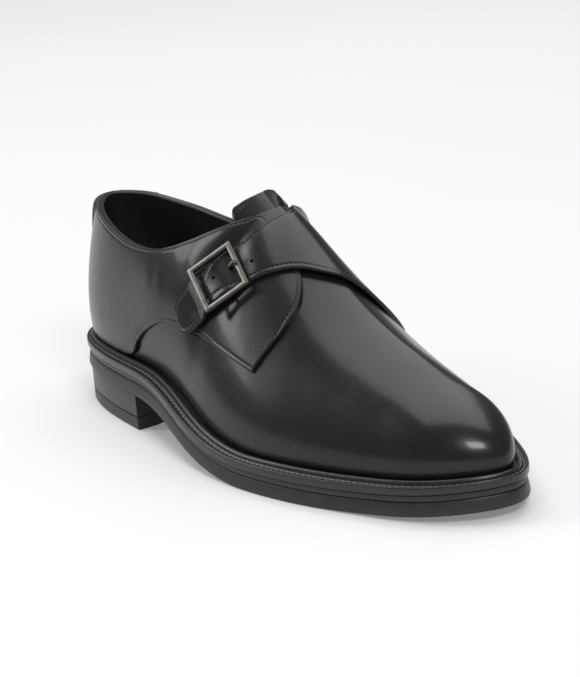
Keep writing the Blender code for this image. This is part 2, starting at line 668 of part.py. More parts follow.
def make_upper(parts, finish):
    """The vamp and its lining as one hollow wall, open at the collar and underneath."""
    places = shell_places()
    girths = np.r_[0, np.linspace(0.03, 0.995, 10)[:-1], 1]
    bm = bmesh.new()
    open_top = [k for k in range(len(places) - 1) if places[k] >= THROAT - 1e-9]
    throat = open_top[0]
    for sign in (-1, 1):
        place, girth = np.meshgrid(places * sign, girths, indexing="ij")
        place = np.where(place == 0, sign * 1e-9, place)
        layers = []
        for offset in (0.0, -WALL):
            grid = upper_point(place, girth, offset)
            grid[throat, -1] = upper_point(np.array([-THROAT, THROAT]), 1.0, offset).mean(0)
            layers.append(add_grid(bm, grid, flip=offset < 0))
        outside, inside = layers
        for k in range(len(places) - 1):
            bm.faces.new((outside[k][0], outside[k + 1][0], inside[k + 1][0], inside[k][0]))
        for k in open_top:
            bm.faces.new((outside[k][-1], outside[k + 1][-1], inside[k + 1][-1], inside[k][-1]))
    bmesh.ops.remove_doubles(bm, verts=bm.verts, dist=0.0001)
    return new_object("upper", bm, parts, finish)


def overlay(name, parts, finish, place, girth, lift, thick):
    """A leather piece lying on the base surface."""
    bm = bmesh.new()
    closed_sheet(bm, over_ridge(place, girth, lift), over_ridge(place, girth, lift + thick))
    return new_object(name, bm, parts, finish)


def make_outer_quarter(parts, finish):
    """Outer quarter, lying on the vamp's wing."""
    table = np.array([(k, *row) for k, row in enumerate(OUTER_QUARTER)])
    rows = np.r_[np.linspace(0, 17, 22), 19 - 2 * np.linspace(1, 0, 12)[1:] ** 1.2]
    edge = smooth_table(table, rows)
    share = np.linspace(0, 1, 10)
    place = edge[:, 0:1] * (1 - share) + edge[:, 2:3] * share
    girth = edge[:, 1:2] * (1 - share) + edge[:, 3:4] * share
    lift = np.full_like(place, LEATHER_GAP)
    return overlay("quarter_outer", parts, finish, place, girth, lift, QUARTER_THICK)


def make_inner_quarter(parts, finish):
    """Inner quarter with the strap that crosses the instep to the buckle."""
    last = len(INNER_QUARTER) - 1
    share = np.linspace(0, 1, STRAP_COLUMNS_ACROSS + 1)
    middle, along, across, out = buckle_axes()
    slot = slot_rows()
    rows = np.r_[np.linspace(0, slot[0], 14), slot.mean(),
                 np.linspace(slot[1], 8, 9), np.linspace(8, last - 2, 17)[1:],
                 last - 2 * np.linspace(1, 0, 14)[1:] ** 1.25]
    wide = np.clip((9.5 - rows) / 2, 0, 1)[:, None]
    aside = share - SLOT_SHARE
    share = share + wide * SLOT_WIDEN * np.exp(-(aside / 0.15) ** 2) * np.sign(aside)
    place, girth, lift, thick = strap_grid(rows, share)
    rest = over_ridge(place, girth, 0.0) - middle
    run, height = rest @ along, rest @ out
    near = np.exp(-(run / STRAP_FLAT_REACH) ** 6) * (rows < 9)[:, None]
    bulge = STRAP_BULGE * np.exp(-(run / STRAP_BULGE_REACH) ** 2)
    lift = lift + near * (STRAP_FLAT_LIFT + bulge - height - lift)
    lift = np.maximum(lift, np.where(rows < 9, STRAP_LIFT - 0.3, 0.0)[:, None])
    bm = bmesh.new()
    closed_sheet(bm, over_ridge(place, girth, lift), over_ridge(place, girth, lift + thick),
                 hole=(13, 15, SLOT_COLUMN))
    return new_object("quarter_inner_with_strap", bm, parts, finish)


def slot_rows():
    """Rows of the strap's table at the two ends of the prong's slot."""
    middle, along, across, out = buckle_axes()
    fine = np.linspace(2.5, 7, 226)
    place, girth = strap_grid(fine, np.array([SLOT_SHARE]))[:2]
    run = (over_ridge(place, girth, 0.0)[:, 0] - middle) @ along
    return np.interp(SLOT, run, fine)


def strap_grid(rows, share):
    """Place, girth, lift and thickness over the inner quarter and strap."""
    table = np.array([(k, *row) for k, row in enumerate(INNER_QUARTER)])
    edge = smooth_table(table, rows)
    place = edge[:, 0:1] * (1 - share) + edge[:, 2:3] * share
    girth = edge[:, 1:2] * (1 - share) + edge[:, 3:4] * share
    lift = edge[:, 4:5] + np.zeros_like(place)
    thick = edge[:, 5:6] + np.zeros_like(place)
    return place, girth, lift, thick


def make_back_strip(parts, finish):
    """The strip over the back seam, wide at the collar."""
    girth_line = np.linspace(BACK_STRIP[0][0], BACK_STRIP[-1][0], 11)
    half = smooth_table(BACK_STRIP, girth_line)[:, 0]
    side_length = np.linalg.norm(np.diff(FEATHER[1][1], axis=0), axis=1).sum()
    across = np.linspace(-1, 1, 9)
    place = 1.0 + across[None, :] * (half / side_length)[:, None]
    girth = girth_line[:, None] + np.zeros_like(place)
    lift = np.full_like(place, BACK_STRIP_LIFT)
    bm = bmesh.new()
    closed_sheet(bm, upper_point(place, girth, lift),
                 upper_point(place, girth, lift + BACK_STRIP_THICK))
    return new_object("back_strip", bm, parts, finish)


def tongue_layer(offset):
    """One face of the tongue: under the vamp to the throat, then straight on and up."""
    across = np.linspace(-1, 1, 11)
    girth = 1 + across * (1 - TONGUE_GIRTH)
    place = np.linspace(TONGUE_TUCK, THROAT - 0.004, 6)[:, None] + np.zeros_like(girth)
    rows = list(over_ridge(place, girth + np.zeros_like(place), offset))
    last = rows[-1]
    run = np.array([-1.0, 0.0, TONGUE_SLOPE]) / math.hypot(1.0, TONGUE_SLOPE)
    away = np.abs(across)
    full = TONGUE_RISE * (1 + TONGUE_WING * away ** 1.25 + TONGUE_SKEW * across)
    full = full * (1 - TONGUE_CORNER * away ** 14)
    for step in np.linspace(0, 1, 7)[1:]:
        moved = last.copy()
        aside = np.where(across < 0, TONGUE_OUTER_SPREAD, TONGUE_INNER_SPREAD)
        spread = 1 + aside * step * away ** 2
        moved[:, 1] = last[5, 1] + (last[:, 1] - last[5, 1]) * spread
        moved[:, 2] = last[:, 2] + (last[5, 2] - last[:, 2]) * TONGUE_FLATTEN * step ** 2
        rows.append(moved + (step * full)[:, None] * run)
    return np.array(rows)


def make_tongue(parts, finish):
    """The tongue: under the vamp and strap, and out past the throat."""
    under = -(WALL + TONGUE_DROP)
    bm = bmesh.new()
    closed_sheet(bm, tongue_layer(under), tongue_layer(under - TONGUE_THICK))
    return new_object("tongue", bm, parts, finish)


# ---- buckle ----------------------------------------------------------------------------
def buckle_axes():
    """The buckle's plane, level over the surface that its outline covers: its middle and
    its unit axes along the strap, across it and outwards."""
    rows = np.linspace(STRAP_AT_BUCKLE[0], STRAP_AT_BUCKLE[1], 9)
    place, girth = strap_grid(rows, np.linspace(0, 1, 9))[:2]
    patch = over_ridge(place, girth, 0.0)
    middle = patch[:, 4].mean(0)
    way = patch[-1].mean(0) - patch[0].mean(0)
    place, girth = strap_grid(np.linspace(1, 8, 41), np.linspace(-1, 2, 61))[:2]
    around = over_ridge(place, np.minimum(girth, 1.0), 0.0).reshape(-1, 3)
    near = patch.reshape(-1, 3)
    for step in range(4):
        centre = near.mean(0)
        values, axes = np.linalg.eigh((near - centre).T @ (near - centre))
        out = axes[:, 0] * (-1.0 if axes[1, 0] > 0 else 1.0)
        along = way - (way @ out) * out
        along = along / np.linalg.norm(along)
        across = np.cross(out, along)
        rest = around - middle
        inside = (np.abs(rest @ along) < 13) & (np.abs(rest @ across) < 13.5)
        near = around[inside & (np.abs(rest @ out) < 8)]
    turn, dip = math.radians(BUCKLE_TURN_DEG), math.radians(BUCKLE_DIP_DEG)
    middle = middle + ((centre - middle) @ out) * out
    middle = middle + BUCKLE_SHIFT[0] * along + BUCKLE_SHIFT[1] * across
    turned = math.cos(turn) * along + math.sin(turn) * across
    sunk = math.cos(dip) * turned - math.sin(dip) * out
    across = np.cross(out, turned)
    return middle, sunk, across, np.cross(sunk, across)


def make_buckle(parts, cutters, metal):
    """Flat rectangular frame with a middle bar under the strap, and a prong."""
    middle, along, across, out = buckle_axes()

    def at(a, b, c):
        return middle + a * along + b * across + c * out

    half_long = BUCKLE_LONG / 2
    half_wide = BUCKLE_WIDE / 2
    bm = bmesh.new()
    rows = []
    for sx, sy in ((-1, -1), (1, -1), (1, 1), (-1, 1)):
        ring = []
        for inset, height in ((0, -1), (0, 1), (BUCKLE_BAR, 1), (BUCKLE_BAR, -1)):
            ring.append(at(sx * (half_long - inset), sy * (half_wide - inset),
                           BUCKLE_LIFT + height * BUCKLE_THICK / 2))
        rows.append(ring + ring[:1])
    add_grid(bm, np.array(rows), close_rows=True)
    frame = new_object("buckle_frame", bm, parts, metal)
    end = half_wide - BUCKLE_BAR / 2
    low = MIDDLE_BAR_LIFT
    route = [(0, -end, BUCKLE_LIFT), (0, 0.3 - end, low + 1.2), (0, 1.3 - end, low),
             (0, end - 1.3, low), (0, end - 0.3, low + 1.2), (0, end, BUCKLE_LIFT)]
    bar = tube("middle_bar", [at(*p) for p in route], MIDDLE_BAR_RADIUS, cutters)
    bar.display_type = "WIRE"
    bar.hide_render = True
    cut(frame, bar, "UNION")
    rest = BUCKLE_LIFT + BUCKLE_THICK / 2 + GAP + PRONG_RADIUS
    slot_place, slot_girth = strap_grid(slot_rows(), np.array([SLOT_SHARE]))[:2]
    side = ((over_ridge(slot_place, slot_girth, 6.5)[:, 0] - middle) @ across).mean()
    path = [(2.1, low - 0.9), (4.4, low - 0.7), (6.6, low + 1.0), (7.5, rest - 1.0),
            (8.9, rest - 0.1), (half_long - 0.4, rest)]
    prong = tube("buckle_prong", [at(a, side, c) for a, c in path], PRONG_RADIUS, parts)
    prong.data.materials.append(metal)
    prong.data.shade_smooth()
    prong.data.set_sharp_from_angle(angle=math.radians(35))


def tube(name, points, radius, collection):
    """A round bar through the points, as a mesh with its caps welded."""
    curve = bpy.data.curves.new(name, "CURVE")
    curve.dimensions = "3D"
    curve.bevel_depth = radius * MM
    curve.bevel_resolution = 2
    curve.use_fill_caps = True
    spline = curve.splines.new("POLY")
    spline.points.add(len(points) - 1)
    for point, place in zip(spline.points, to_metres(points)):
        point.co = (*place, 1.0)
    held = bpy.data.objects.new(name + "_curve", curve)
    bpy.context.scene.collection.objects.link(held)
    bpy.context.view_layer.update()
    graph = bpy.context.evaluated_depsgraph_get()
    mesh = bpy.data.meshes.new_from_object(held.evaluated_get(graph))
    bpy.data.objects.remove(held)
    bm = bmesh.new()
    bm.from_mesh(mesh)
    bmesh.ops.remove_doubles(bm, verts=bm.verts, dist=WELD)
    bmesh.ops.recalc_face_normals(bm, faces=bm.faces)
    bm.to_mesh(mesh)
    bm.free()
    made = bpy.data.objects.new(name, mesh)
    collection.objects.link(made)
    return made


def main():
    """Build the shoe."""
    for old in list(bpy.data.objects):
        bpy.data.objects.remove(old)
    parts = bpy.data.collections.new("monk_strap_shoe")
    cutters = bpy.data.collections.new("cutters")
    bpy.context.scene.collection.children.link(parts)
    bpy.context.scene.collection.children.link(cutters)
    rubber = material("sole rubber", (0.02, 0.021, 0.023), 0.55)
    vamp_leather = material("vamp leather", (0.012, 0.012, 0.014), 0.22)
    quarter_leather = material("quarter leather", (0.014, 0.014, 0.016), 0.26)
    strap_leather = material("strap leather", (0.013, 0.013, 0.015), 0.24)
    tongue_leather = material("tongue leather", (0.02, 0.02, 0.022), 0.35)
    strip_leather = material("back strip leather", (0.014, 0.014, 0.016), 0.26)
    sock = material("insole sock", (0.03, 0.028, 0.027), 0.7)
    metal = material("buckle metal", (0.42, 0.38, 0.33), 0.3, 1.0)
    make_soles(parts, cutters, rubber, sock)
    make_upper(parts, vamp_leather)
    make_outer_quarter(parts, quarter_leather)
    make_inner_quarter(parts, strap_leather)
    make_back_strip(parts, strip_leather)
    make_tongue(parts, tongue_leather)
    make_buckle(parts, cutters, metal)


main()
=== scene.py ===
"""The looks of a right monk strap shoe: polished black leather on a welted rubber sole.

Tables of sizes are in millimetres about the back of the heel and are turned into the row's
metres when a mesh is made.  +X runs to the toe, +Y to the inner side of the foot, +Z up.
"""
import logging
import math
from dataclasses import dataclass, field
from enum import Enum
from typing import ClassVar

import bmesh
import bpy
import numpy as np
from mathutils import Matrix, Vector


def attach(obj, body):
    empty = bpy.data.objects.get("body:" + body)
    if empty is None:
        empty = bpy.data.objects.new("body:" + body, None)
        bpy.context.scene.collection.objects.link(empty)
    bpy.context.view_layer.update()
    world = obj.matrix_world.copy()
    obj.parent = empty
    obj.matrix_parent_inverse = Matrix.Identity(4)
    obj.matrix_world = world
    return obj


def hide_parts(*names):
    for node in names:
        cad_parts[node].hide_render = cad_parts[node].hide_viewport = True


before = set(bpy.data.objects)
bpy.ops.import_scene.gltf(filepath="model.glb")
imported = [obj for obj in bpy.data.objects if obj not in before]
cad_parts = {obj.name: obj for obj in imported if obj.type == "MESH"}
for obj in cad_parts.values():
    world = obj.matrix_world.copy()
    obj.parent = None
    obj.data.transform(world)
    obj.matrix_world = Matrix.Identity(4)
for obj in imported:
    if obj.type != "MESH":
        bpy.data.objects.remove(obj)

logging.basicConfig(level=logging.INFO, format="%(name)s: %(message)s")
LOG = logging.getLogger("shoe")
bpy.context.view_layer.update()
MM = 0.001
WELD = 0.000004
NO_LENGTH = 1e-7
Array = np.ndarray
Rows = tuple[tuple[float, ...], ...]
Point = tuple[float, float, float]
Mesh = bpy.types.Mesh
Material = bpy.types.Material
Socket = bpy.types.NodeSocket
Tree = bpy.types.NodeTree


# ---- curves and tables -----------------------------------------------------------------
def smooth_table(rows: Rows, value: Array) -> Array:
    """Read a table smoothly.

    Args:
        rows: Rows whose first column rises.
        value: Where to read, in the first column's unit.

    Returns:
        The other columns at each value, on a new last axis.
    """
    table = np.asarray(rows, float)
    keys, data = table[:, 0], table[:, 1:]
    at = np.clip(np.asarray(value, float), keys[0], keys[-1])
    step = np.diff(keys)
    slope = np.diff(data, axis=0) / step[:, None]
    tangent = np.empty_like(data)
    weight = step[1:] + step[:-1]
    tangent[1:-1] = (slope[:-1] * step[1:, None] + slope[1:] * step[:-1, None]) / weight[:, None]
    tangent[0] = 1.5 * slope[0] - 0.5 * tangent[1]
    tangent[-1] = 1.5 * slope[-1] - 0.5 * tangent[-2]
    k = np.clip(np.searchsorted(keys, at, side="right") - 1, 0, len(step) - 1)
    t = ((at - keys[k]) / step[k])[..., None]
    h = step[k][..., None]
    start = (1 + 2 * t) * (1 - t) ** 2 * data[k] + t * (1 - t) ** 2 * h * tangent[k]
    end = t * t * (3 - 2 * t) * data[k + 1] + t * t * (t - 1) * h * tangent[k + 1]
    return start + end


def even_ends(rows: Rows, flip_column: int | None = None, about: float = 0.5) -> Array:
    """Mirror a table past place 0 and place 1, so that it is level there.

    Args:
        rows: Rows whose first column is place.
        flip_column: A column that changes side past place 1.
        about: The value that column is mirrored about.

    Returns:
        The longer table.
    """
    table = np.asarray(rows, float)
    before = table[1:3][::-1].copy()
    before[:, 0] *= -1
    after = table[-3:-1][::-1].copy()
    after[:, 0] = 2 - after[:, 0]
    if flip_column is not None:
        after[:, flip_column] = 2 * about - after[:, flip_column]
    return np.vstack([before, table, after])


def closed_curve(points: Rows, steps: int) -> Array:
    """Smooth closed curve.

    Args:
        points: Points it passes through; the first two columns are its plane.
        steps: Samples between neighbours.

    Returns:
        The samples.
    """
    p = np.asarray(points, float)
    count = len(p)
    ahead = np.roll(p, -1, 0)
    h = np.linalg.norm(ahead[:, :2] - p[:, :2], axis=1) ** 0.7
    matrix = np.zeros((count, count))
    target = np.zeros_like(p)
    for i in range(count):
        before, after = h[i - 1], h[i]
        matrix[i, i - 1] += after
        matrix[i, i] += 2 * (before + after)
        matrix[i, (i + 1) % count] += before
        target[i] = 3 * (after * (p[i] - p[i - 1]) / before + before * (ahead[i] - p[i]) / after)
    tangent = np.linalg.solve(matrix, target)
    t = np.linspace(0, 1, steps, endpoint=False)[:, None]
    pieces = []
    for i in range(count):
        j = (i + 1) % count
        start = (1 + 2 * t) * (1 - t) ** 2 * p[i] + t * (1 - t) ** 2 * h[i] * tangent[i]
        end = t * t * (3 - 2 * t) * p[j] + t * t * (t - 1) * h[i] * tangent[j]
        pieces.append(start + end)
    return np.vstack(pieces)


def outward_normals(curve: Array) -> Array:
    """Unit normals of a closed flat curve that runs heel, outer side, toe, inner side."""
    along = np.roll(curve, -1, 0) - np.roll(curve, 1, 0)
    normal = np.stack([along[:, 1], -along[:, 0]], 1)
    return normal / np.linalg.norm(normal, axis=1)[:, None]


def unit(vectors: Array) -> Array:
    """The vectors at length 1."""
    return vectors / np.maximum(np.linalg.norm(vectors, axis=-1), 1e-12)[..., None]


def spline_weights(t: Array) -> tuple[Array, ...]:
    """Weights of four neighbours for a smooth reading between the middle two."""
    return (-0.5 * t ** 3 + t ** 2 - 0.5 * t, 1.5 * t ** 3 - 2.5 * t ** 2 + 1,
            -1.5 * t ** 3 + 2 * t ** 2 + 0.5 * t, 0.5 * t ** 3 - 0.5 * t ** 2)


def bump(value: Array, centre: float, reach: float) -> Array:
    """A smooth hump of height 1."""
    return np.exp(-((value - centre) / reach) ** 2)


# ---- the shoe's form -------------------------------------------------------------------
class Side(Enum):
    """A side of the foot, with its sign on +Y."""

    OUTER = -1
    INNER = 1


@dataclass(frozen=True)
class SoleForm:
    """The sole's outline and profile, and the feather line where the upper meets the welt."""

    outline: Rows = (
        (9.0, 27.5, 17.5, 5.5), (33.0, 41.5, 31.5, 6.5), (70.0, 48.3, 32.0, 7.5),
        (108.0, 52.5, 31.0, 8.0), (148.0, 60.0, 41.5, 8.0), (190.0, 59.5, 55.5, 7.5),
        (224.0, 52.3, 54.5, 8.0), (256.0, 41.2, 41.0, 7.6), (284.0, 26.8, 25.0, 7.0))
    heel_back: Point = (0.0, -4.5, 5.0)
    toe_tip: Point = (302.0, 4.0, 6.0)
    origin: Point = (149.99, -2.072, 0.0)
    heel_rise: float = 18.0
    breast_x: float = 84.0
    breast_hollow: float = 4.5
    waist_end_x: float = 190.0
    spring_start_x: float = 215.0
    toe_spring: float = 5.5
    gap: float = 0.3
    outsole: float = 6.4
    midsole: float = 2.8
    welt: float = 3.6
    fineness: int = 120

    def curve(self) -> tuple[Array, Array, Array]:
        """The outline, its outward normals and the welt's reach past the upper."""
        outer = [(x, -out, reach) for x, out, inn, reach in self.outline]
        inner = [(x, inn, reach) for x, out, inn, reach in self.outline]
        nodes = [self.heel_back] + outer + [self.toe_tip] + inner[::-1]
        line = closed_curve(nodes, self.fineness)
        return line[:, :2], outward_normals(line[:, :2]), line[:, 2]

    def bottom(self, x: Array) -> Array:
        """Height of the outsole's underside at each x."""
        waist = np.clip((self.waist_end_x - x) / (self.waist_end_x - self.breast_x), 0, 1)
        spring = (x - self.spring_start_x) / (self.toe_tip[0] - self.spring_start_x)
        lift = self.toe_spring * np.clip(spring, 0, 1.05) ** 2
        return self.heel_rise * (0.5 - 0.5 * np.cos(math.pi * waist)) + lift

    def stack(self) -> float:
        """Height of the welt's flat top over the outsole's underside."""
        return self.outsole + self.midsole + self.welt + 2 * self.gap

    def to_metres(self, points: Array) -> Array:
        """Table points in millimetres, in the row's metres about the shoe's own origin."""
        return (np.asarray(points, float) - np.array(self.origin)) * MM


SOLE = SoleForm()
SOLE_LINE, SOLE_NORMAL, WELT_REACH = SOLE.curve()
FEATHER_LINE = SOLE_LINE - SOLE_NORMAL * WELT_REACH[:, None]
FEATHER_NORMAL = outward_normals(FEATHER_LINE)


@dataclass(frozen=True)
class Last:
    """The upper's base surface.

    A point is a place, 0 at the toe to 1 at the middle of the heel along the feather line,
    minus on the outer side, and a girth, 0 at the feather line to 1 on the ridge or collar.
    """

    throat: float = 0.545
    ridge: Rows = (
        (148.0, 0.5, 110.0), (162.0, 1.0, 101.5), (178.0, 1.2, 90.6), (195.0, 1.4, 79.6),
        (210.0, 1.6, 71.0), (225.0, 2.0, 64.4), (245.0, 2.7, 57.0), (262.0, 3.5, 50.2))
    ridge_place: Rows = (
        (0.0, 262.0), (0.09, 259.0), (0.18, 247.0), (0.275, 226.0), (0.38, 197.0),
        (0.51, 158.0), (0.545, 148.0))
    collar_outer: Rows = (
        (0.545, 148.0, 0.5, 110.0), (0.575, 142.5, -12.5, 106.5), (0.605, 133.0, -22.0, 102.0),
        (0.65, 116.0, -31.0, 94.5), (0.76, 80.0, -35.5, 88.0), (0.87, 38.0, -28.5, 93.5),
        (0.94, 16.5, -18.0, 96.5), (1.0, 6.5, -4.5, 97.0))
    collar_inner: Rows = (
        (0.545, 148.0, 0.5, 110.0), (0.575, 142.5, 11.5, 106.0), (0.605, 133.0, 19.5, 101.0),
        (0.65, 116.0, 23.0, 93.0), (0.76, 80.0, 24.0, 86.0), (0.87, 38.0, 18.5, 91.0),
        (0.94, 16.5, 8.5, 95.5), (1.0, 6.5, -4.5, 97.0))
    sections_outer: Rows = (
        (0.0, 18.0, 16.0, 0.0, 22.0), (0.09, 17.0, 17.0, 0.0, 22.0),
        (0.18, 14.0, 19.0, 0.0, 20.0), (0.275, 12.0, 22.0, 0.0, 23.0),
        (0.38, 10.0, 26.0, 0.0, 25.0), (0.51, 3.0, 30.0, 0.0, 24.0),
        (0.575, 0.0, 30.0, 22.0, 19.0), (0.65, 2.0, 24.0, 55.0, 18.0),
        (0.76, 4.0, 20.0, 76.0, 17.0), (0.87, 8.0, 20.0, 75.0, 20.0),
        (0.94, 12.0, 20.0, 74.0, 22.0), (1.0, 14.0, 22.0, 72.0, 22.0))
    sections_inner: Rows = (
        (0.0, 18.0, 16.0, 0.0, 22.0), (0.09, 15.0, 12.0, 0.0, 17.0),
        (0.18, 11.5, 13.5, 0.0, 11.0), (0.275, 8.0, 13.0, 0.0, 9.5),
        (0.38, 7.5, 20.0, 0.0, 12.5), (0.51, 9.0, 30.0, 0.0, 15.0),
        (0.575, 12.0, 30.0, 22.0, 17.0), (0.65, 14.0, 28.0, 55.0, 18.0),
        (0.76, 11.0, 22.0, 76.0, 17.0), (0.87, 9.0, 20.0, 75.0, 20.0),
        (0.94, 12.0, 20.0, 74.0, 22.0), (1.0, 14.0, 22.0, 72.0, 22.0))
    throat_ease: Rows = (
        (-0.018, 1 / 9), (-0.009, 2 / 9), (0.0, 3 / 9), (0.009, 2 / 9), (0.018, 1 / 9))
    section_ease: Rows = (
        (-0.024, 0.15), (-0.012, 0.22), (0.0, 0.26), (0.012, 0.22), (0.024, 0.15))
    level_ends: float = 0.05
    slope_fades: tuple[float, float] = (0.51, 0.64)
    top_power: int = 14
    step: float = 0.002

    def feather(self, side: Side) -> tuple[Array, Array, Array]:
        """One side of the feather line from the toe to the heel: share, points, normals."""
        count = len(FEATHER_LINE)
        tip = int(np.argmax(FEATHER_LINE[:, 0]))
        back = int(np.argmin(FEATHER_LINE[:, 0]))
        if side is Side.OUTER:
            order = np.arange(tip, back - (back > tip) * count - 1, -1) % count
        else:
            order = np.arange(tip, back + (back < tip) * count + 1) % count
        points = FEATHER_LINE[order]
        run = np.r_[0, np.cumsum(np.linalg.norm(np.diff(points, axis=0), axis=1))]
        return run / run[-1], points, FEATHER_NORMAL[order]

    def top_line(self, side: Side, place: Array) -> tuple[Array, Array]:
        """The ridge and then the collar at each place, and the ridge's slope."""
        mirrored = 1 - np.abs(1 - np.abs(place))
        rising = even_ends(self.ridge_place)[:-2]
        x = smooth_table(rising, np.minimum(mirrored, self.throat))[..., 0]
        low = np.clip(x - 0.5, self.ridge[0][0], self.ridge[-1][0])
        high = np.clip(x + 0.5, self.ridge[0][0], self.ridge[-1][0])
        rise = smooth_table(self.ridge, high)[..., 1] - smooth_table(self.ridge, low)[..., 1]
        ridge_point = np.concatenate([x[..., None], smooth_table(self.ridge, x)], -1)
        edge_sign = np.where(place > 1, -side.value, side.value)
        behind = np.maximum(mirrored, self.throat)
        outer = smooth_table(even_ends(self.collar_outer, 2)[2:], behind)
        inner = smooth_table(even_ends(self.collar_inner, 2)[2:], behind)
        collar = np.where((edge_sign < 0)[..., None], outer, inner)
        point = np.where((mirrored <= self.throat)[..., None], ridge_point, collar)
        return point, rise / (high - low)

    def side_surface(self, side: Side, place: Array, girth: Array) -> Array:
        """Points of the base surface on one side.

        Args:
            side: Outer or inner.
            place: From 0 at the toe to 1 at the heel.
            girth: From 0 at the feather line to 1 at the top.

        Returns:
            Points in millimetres.
        """
        share, points, normals = FEATHER[side]
        flat = np.stack([np.interp(place, share, points[:, k]) for k in (0, 1)], -1)
        out = unit(np.stack([np.interp(place, share, normals[:, k]) for k in (0, 1)], -1))
        out = np.concatenate([out, np.zeros_like(out[..., :1])], -1)
        floor = SOLE.bottom(flat[..., 0]) + SOLE.stack() + SOLE.gap
        foot = np.concatenate([flat, floor[..., None]], -1)
        top, slope = self.top_line(side, place)
        eased = sum(w * self.top_line(side, place + d)[0] for d, w in self.throat_ease)
        table = even_ends(self.sections_outer if side is Side.OUTER else self.sections_inner)
        level = np.clip(np.minimum(place, 1 - place) / self.level_ends, 0, 1)
        shape = sum(w * smooth_table(table, place + d * level) for d, w in self.section_ease)
        lean = np.radians(shape[..., 0])[..., None]
        dip = np.radians(np.clip(shape[..., 2], 0, 90))[..., None]
        up = np.array([0.0, 0.0, 1.0])
        low = foot + shape[..., 1:2] * (np.sin(lean) * out + np.cos(lean) * up)
        start, stop = self.slope_fades
        fade = np.clip((stop - place) / (stop - start), 0, 1)
        fade = fade * fade * (3 - 2 * fade)
        along = unit(out + (out[..., 0] * slope * fade)[..., None] * up)
        high = eased + shape[..., 3:4] * (np.cos(dip) * along - np.sin(dip) * up)
        b = girth[..., None]
        a = 1 - b
        section = a ** 3 * foot + 3 * a * a * b * low + 3 * a * b * b * high + b ** 3 * eased
        return section + b ** self.top_power * (top - eased)

    def base(self, place: Array, girth: Array) -> Array:
        """Points of the base surface; place is signed and may run on past the heel."""
        place, girth = np.broadcast_arrays(np.asarray(place, float), np.asarray(girth, float))
        place = (place + 1) % 2 - 1
        over = (girth > 1) & (np.abs(place) <= self.throat + 1e-9)
        place = np.where(over, -place, place)
        girth = np.where(over, 2 - girth, girth)
        outer = self.side_surface(Side.OUTER, np.abs(place), girth)
        inner = self.side_surface(Side.INNER, np.abs(place), girth)
        return np.where((place < 0)[..., None], outer, inner)

    def normal(self, place: Array, girth: Array) -> Array:
        """Outward unit normals of the base surface."""
        place, girth = np.broadcast_arrays(np.asarray(place, float), np.asarray(girth, float))
        e = self.step
        d_place = self.base(place + e, girth) - self.base(place - e, girth)
        d_girth = self.base(place, girth + e) - self.base(place, girth - e)
        return unit(np.cross(d_place, d_girth))

    def point(self, place: Array, girth: Array, offset: Array | float) -> Array:
        """Points at a distance outside the base surface, inside it when negative."""
        away = np.asarray(offset, float)[..., None] * self.normal(place, girth)
        return self.base(place, girth) + away

    def over_ridge(self, place: Array, girth: Array, offset: Array | float) -> Array:
        """Points with girth 0 to 2 from the outer feather line to the inner one."""
        inner = girth > 1
        return self.point(np.where(inner, place, -place), np.where(inner, 2 - girth, girth), offset)


LAST = Last()
FEATHER = {side: LAST.feather(side) for side in Side}


# ---- meshes ----------------------------------------------------------------------------
@dataclass
class Skin:
    """Points and faces gathered for one mesh; points are in millimetres."""

    points: list[Array] = field(default_factory=list)
    faces: list[tuple[int, ...]] = field(default_factory=list)
    marks: list[Array] = field(default_factory=list)
    count: int = 0

    def grid(self, points: Array, mark: float | Array = 0.0, flip: bool = False,
             close_rows: bool = False, close_columns: bool = False) -> Array:
        """Add a grid of quads.

        Args:
            points: Rows by columns by 3.
            mark: Value of the cut-edge attribute there.
            flip: Turn the faces over.
            close_rows: Join the last row to the first.
            close_columns: Join the last column to the first.

        Returns:
            Index of each point in the mesh.
        """
        rows, columns = points.shape[:2]
        index = np.arange(rows * columns).reshape(rows, columns) + self.count
        self.points.append(points.reshape(-1, 3))
        self.marks.append(np.broadcast_to(mark, (rows, columns)).reshape(-1).astype(float))
        self.count += rows * columns
        shown = index
        if close_rows:
            shown = np.vstack([shown, shown[:1]])
        if close_columns:
            shown = np.hstack([shown, shown[:, :1]])
        self.join(shown, flip)
        return index

    def join(self, index: Array, flip: bool = False) -> None:
        """Add the quads of a grid of point numbers."""
        corners = (index[:-1, :-1], index[:-1, 1:], index[1:, 1:], index[1:, :-1])
        quads = np.stack([c.reshape(-1) for c in (corners[::-1] if flip else corners)], 1)
        self.faces.extend(map(tuple, quads.tolist()))

    def mesh(self, name: str, weld: float = WELD) -> Mesh:
        """Make the mesh.

        Args:
            name: The mesh's name.
            weld: Points closer than this, in metres, become one.

        Returns:
            A closed mesh whose faces point outwards.
        """
        made = bpy.data.meshes.new(name)
        made.from_pydata(SOLE.to_metres(np.vstack(self.points)).tolist(), [], self.faces)
        made.attributes.new("cut_edge", "FLOAT", "POINT").data.foreach_set(
            "value", np.concatenate(self.marks))
        bm = bmesh.new()
        bm.from_mesh(made)
        bmesh.ops.remove_doubles(bm, verts=bm.verts, dist=weld)
        bmesh.ops.dissolve_degenerate(bm, edges=bm.edges, dist=NO_LENGTH)
        bmesh.ops.recalc_face_normals(bm, faces=bm.faces)
        bm.to_mesh(made)
        bm.free()
        return made


def new_piece(name: str, mesh: Mesh, finish: Material,
              sharp: float = 38.0) -> bpy.types.Object:
    """Put a mesh in the scene as a piece.

    Args:
        name: The piece's name.
        mesh: Its mesh.
        finish: Its material.
        sharp: Edges turning by more degrees than this stay crisp.

    Returns:
        The object.
    """
    mesh.materials.clear()
    mesh.materials.append(finish)
    mesh.shade_smooth()
    mesh.set_sharp_from_angle(angle=math.radians(sharp))
    made = bpy.data.objects.new(name, mesh)
    bpy.context.scene.collection.objects.link(made)
    return made


